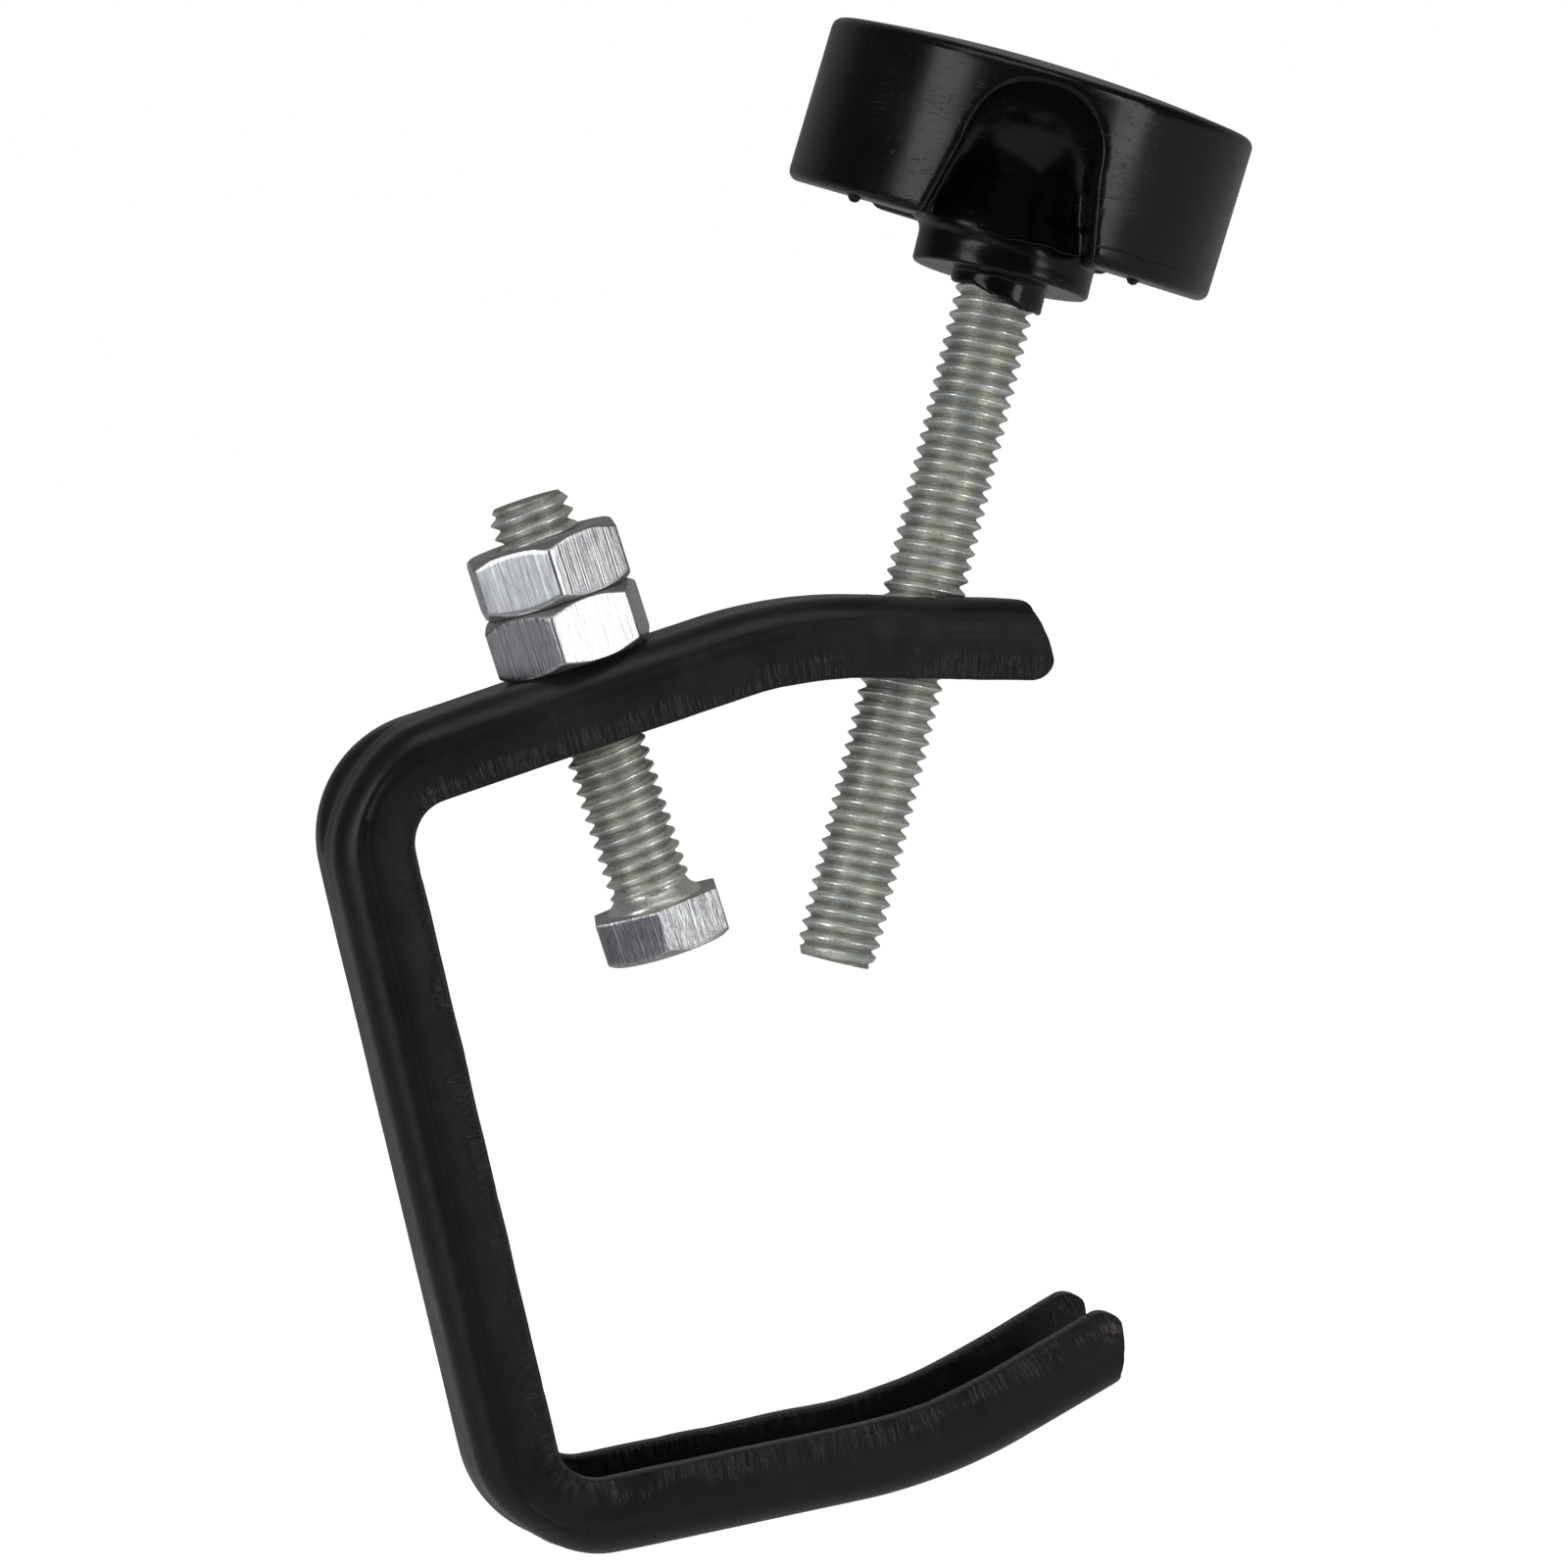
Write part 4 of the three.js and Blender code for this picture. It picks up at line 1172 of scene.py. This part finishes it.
def build_knob(context):
    """The knob, moulded a little askew on its screw."""
    size, finishes = context.scene.clamp_knob, context.scene.clamp_finishes
    distance = knob_distance(size)
    reach, low, high = size.radius / MM + 3.5, -size.sleeve_drop / MM - 1.6, size.height / MM + 4.6
    corners = np.array([-reach, -reach, low]), np.array([reach, reach, high])
    points, faces = skin_mesh(distance, *corners, GRID_STEP)
    start = SCREW_TIP + SCREW_AXIS * (size.rim_start / MM)
    # The mesh itself is put in place, so that the piece's box stays true
    lean = math.atan2(SCREW_AXIS.x, SCREW_AXIS.z)
    points = points @ np.array(Euler((0, lean, 0)).to_matrix()).T + np.array(start)
    knob = new_piece("scooped_knob", points, faces, black_plastic(finishes, start, lean), smooth=70.0)
    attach(knob, "handle")
    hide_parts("knob")
    return knob


# ---------------------------------------------------------------- studio

VIEW_AZIMUTH = -12.43
VIEW_ELEVATION = 6.43
VIEW_ROLL = 12.9
VIEW_DISTANCE = 0.6087
VIEW_LENS = 122.7
VIEW_AIM = Vector((-0.00114, 0.0, 0.02120))
FLOOR_DROP = 0.09
FLOOR_RADIUS = 4.0
FLOOR_BEHIND = 3.6
FLOOR_GLOW = 0.16
# Light from all round, in front of and behind the clamp, and the cosines between which it changes
FRONT_LIGHT = (0.070, 0.070, 0.084, 1)
BEHIND_LIGHT = (0.20, 0.195, 0.19, 1)
FADE = (-0.62, -0.30)
# Name, degrees to the side and up from the camera's line, width, height, level and colour of each softbox
SOFTBOX_DISTANCE = 0.95
SOFTBOXES = (
    ("softbox_left", -47, 6, 0.36, 0.90, 3.0, (1.0, 1.0, 1.0)),
    ("softbox_right", 50, 6, 0.32, 0.90, 3.6, (1.0, 0.99, 0.97)),
    ("softbox_top", 0, 64, 0.80, 0.45, 1.60, (1.0, 0.98, 0.95)),
)


def view_axes():
    """Right, up and towards the camera, as the main view has them."""
    azimuth, elevation, roll = (math.radians(a) for a in (VIEW_AZIMUTH, VIEW_ELEVATION, VIEW_ROLL))
    back = Vector((
        math.sin(azimuth) * math.cos(elevation),
        -math.cos(azimuth) * math.cos(elevation),
        math.sin(elevation),
    ))
    right = Vector((0, 0, 1)).cross(back).normalized()
    up = back.cross(right)
    return (
        right * math.cos(roll) - up * math.sin(roll),
        right * math.sin(roll) + up * math.cos(roll),
        back,
    )


def view_target():
    """The middle of the view, taken from the screw's tip."""
    return SCREW_TIP * MM + VIEW_AIM


def softbox(name, side, rise, width, height, level, tint, target):
    """An area light turned to the clamp: side and rise are degrees from the camera's line."""
    right, up, back = view_axes()
    side, rise = math.radians(side), math.radians(rise)
    way = (back * math.cos(side) + right * math.sin(side)) * math.cos(rise) + up * math.sin(rise)
    data = bpy.data.lights.new(name, "AREA")
    data.shape = "RECTANGLE"
    data.size, data.size_y = width, height
    data.energy = level * math.pi * width * height
    data.color = tint
    lamp = bpy.data.objects.new(name, data)
    bpy.context.collection.objects.link(lamp)
    z = way.normalized()
    x = up.cross(z).normalized()
    y = z.cross(x)
    spin = Matrix((x, y, z)).transposed().to_4x4()
    lamp.matrix_world = Matrix.Translation(target + way * SOFTBOX_DISTANCE) @ spin
    lamp.visible_camera = False
    return lamp


def studio_world():
    """White behind the clamp, dim round the camera; the camera itself sees plain white."""
    world = bpy.data.worlds.new("studio")
    world.use_nodes = True
    tree = world.node_tree
    tree.nodes.clear()
    _, _, back = view_axes()
    coords = tree.nodes.new("ShaderNodeTexCoord")
    dot = tree.nodes.new("ShaderNodeVectorMath")
    dot.operation = "DOT_PRODUCT"
    dot.inputs[1].default_value = back
    tree.links.new(coords.outputs["Generated"], dot.inputs[0])
    fade = tree.nodes.new("ShaderNodeMapRange")
    fade.interpolation_type = "SMOOTHSTEP"
    for key, value in (("From Min", FADE[0]), ("From Max", FADE[1]), ("To Min", 1.0), ("To Max", 0.0)):
        fade.inputs[key].default_value = value
    tree.links.new(dot.outputs["Value"], fade.inputs["Value"])
    mix = tree.nodes.new("ShaderNodeMix")
    mix.data_type = "RGBA"
    mix.inputs[6].default_value = FRONT_LIGHT
    mix.inputs[7].default_value = BEHIND_LIGHT
    tree.links.new(fade.outputs["Result"], mix.inputs[0])
    seen = tree.nodes.new("ShaderNodeLightPath")
    choose = tree.nodes.new("ShaderNodeMix")
    choose.data_type = "RGBA"
    choose.inputs[7].default_value = (1.0, 1.0, 1.0, 1)
    tree.links.new(seen.outputs["Is Camera Ray"], choose.inputs[0])
    tree.links.new(mix.outputs[2], choose.inputs[6])
    shader = tree.nodes.new("ShaderNodeBackground")
    tree.links.new(choose.outputs[2], shader.inputs["Color"])
    out = tree.nodes.new("ShaderNodeOutputWorld")
    tree.links.new(shader.outputs[0], out.inputs["Surface"])
    bpy.context.scene.world = world


def floor_material(finishes):
    """Plain matt floor with a faint grain, lit through so that it stays pale."""
    plain = Finish("studio_floor")
    cloud = plain.grain(180.0, detail=2.0, roughness=0.5)
    base = plain.mixed(cloud, shade(finishes.floor, 0.98), finishes.floor)
    plain.drive(Base_Color=base, Roughness=0.9)
    plain.shader.inputs["Emission Color"].default_value = (1, 1, 1, 1)
    # The camera sees plain white; the clamp gets only a little light back from the floor
    seen = plain.add("ShaderNodeLightPath").outputs["Is Camera Ray"]
    plain.drive(Emission_Strength=plain.between(seen, 0.0, 1.0, FLOOR_GLOW, 1.0, soft=False))
    return plain.material


def build_stage(context):
    """Camera, floor, softboxes and surrounding light."""
    target = view_target()
    right, up, back = view_axes()
    data = bpy.data.cameras.new("main_view")
    data.lens, data.sensor_width = VIEW_LENS, 36.0
    data.clip_start, data.clip_end = 0.01, 20.0
    camera = bpy.data.objects.new("main_view", data)
    context.collection.objects.link(camera)
    camera.matrix_world = Matrix.Translation(target + back * VIEW_DISTANCE) @ Matrix(
        (right, up, back)).transposed().to_4x4()
    context.scene.camera = camera

    low = CAD_BOX[0]
    mesh = bpy.data.meshes.new("floor")
    sides = 96
    # The floor reaches far back and only a little way to the front
    middle = target - Vector((back.x, back.y, 0)).normalized() * FLOOR_BEHIND
    turns = [2 * math.pi * k / sides for k in range(sides)]
    ring = [
        (middle.x + math.cos(t) * FLOOR_RADIUS, middle.y + math.sin(t) * FLOOR_RADIUS, low[2] - FLOOR_DROP)
        for t in turns
    ]
    mesh.from_pydata(ring, [], [tuple(range(sides))])
    mesh.materials.append(floor_material(context.scene.clamp_finishes))
    floor = bpy.data.objects.new("floor", mesh)
    context.collection.objects.link(floor)

    for lamp in SOFTBOXES:
        softbox(*lamp, target)
    studio_world()
    context.scene.view_settings.view_transform = "Standard"
    context.scene.view_settings.look = "None"


# ---------------------------------------------------------------- operators, panel and registration

class CLAMP_OT_channel(bpy.types.Operator):
    """Build the bent painted channel with its holes"""
    bl_idname = "clamp.channel"
    bl_label = "Channel"

    def execute(self, context):
        build_channel(context)
        return {"FINISHED"}


class CLAMP_OT_screw(bpy.types.Operator):
    """Build the threaded clamp screw"""
    bl_idname = "clamp.screw"
    bl_label = "Clamp screw"

    def execute(self, context):
        build_screw(context)
        return {"FINISHED"}


class CLAMP_OT_knob(bpy.types.Operator):
    """Build the knob with its three finger scoops"""
    bl_idname = "clamp.knob"
    bl_label = "Knob"

    def execute(self, context):
        build_knob(context)
        return {"FINISHED"}


class CLAMP_OT_bolt(bpy.types.Operator):
    """Build the yoke bolt, threaded shank and hexagon head"""
    bl_idname = "clamp.bolt"
    bl_label = "Yoke bolt"

    def execute(self, context):
        build_bolt(context)
        return {"FINISHED"}


class CLAMP_OT_nuts(bpy.types.Operator):
    """Build the seated nut and the locking nut"""
    bl_idname = "clamp.nuts"
    bl_label = "Nuts"

    def execute(self, context):
        build_nuts(context)
        return {"FINISHED"}


class CLAMP_OT_stage(bpy.types.Operator):
    """Build the floor, the lights and the camera"""
    bl_idname = "clamp.stage"
    bl_label = "Stage"

    def execute(self, context):
        build_stage(context)
        return {"FINISHED"}


OPERATORS = (CLAMP_OT_stage, CLAMP_OT_channel, CLAMP_OT_screw, CLAMP_OT_knob, CLAMP_OT_bolt, CLAMP_OT_nuts)
GROUPS = {
    "clamp_channel": ClampChannelSizes,
    "clamp_screws": ClampScrewSizes,
    "clamp_knob": ClampKnobSizes,
    "clamp_finishes": ClampFinishes,
}


class CLAMP_PT_panel(bpy.types.Panel):
    """Sizes, colours and builders of the pipe clamp"""
    bl_idname = "CLAMP_PT_panel"
    bl_label = "Pipe clamp"
    bl_space_type = "VIEW_3D"
    bl_region_type = "UI"
    bl_category = "Pipe clamp"

    def draw(self, context):
        for operator in OPERATORS:
            self.layout.operator(operator.bl_idname)
        for group, kind in GROUPS.items():
            box = self.layout.box()
            for name in kind.__annotations__:
                box.prop(getattr(context.scene, group), name)


CLASSES = (*GROUPS.values(), *OPERATORS, CLAMP_PT_panel)


def register():
    for kind in CLASSES:
        bpy.utils.register_class(kind)
    for name, kind in GROUPS.items():
        setattr(bpy.types.Scene, name, bpy.props.PointerProperty(type=kind))


def unregister():
    for name in GROUPS:
        delattr(bpy.types.Scene, name)
    for kind in reversed(CLASSES):
        bpy.utils.unregister_class(kind)


def main():
    register()
    bpy.ops.clamp.stage()
    bpy.ops.clamp.channel()
    bpy.ops.clamp.screw()
    bpy.ops.clamp.knob()
    bpy.ops.clamp.bolt()
    bpy.ops.clamp.nuts()


if __name__ == "__main__":
    main()
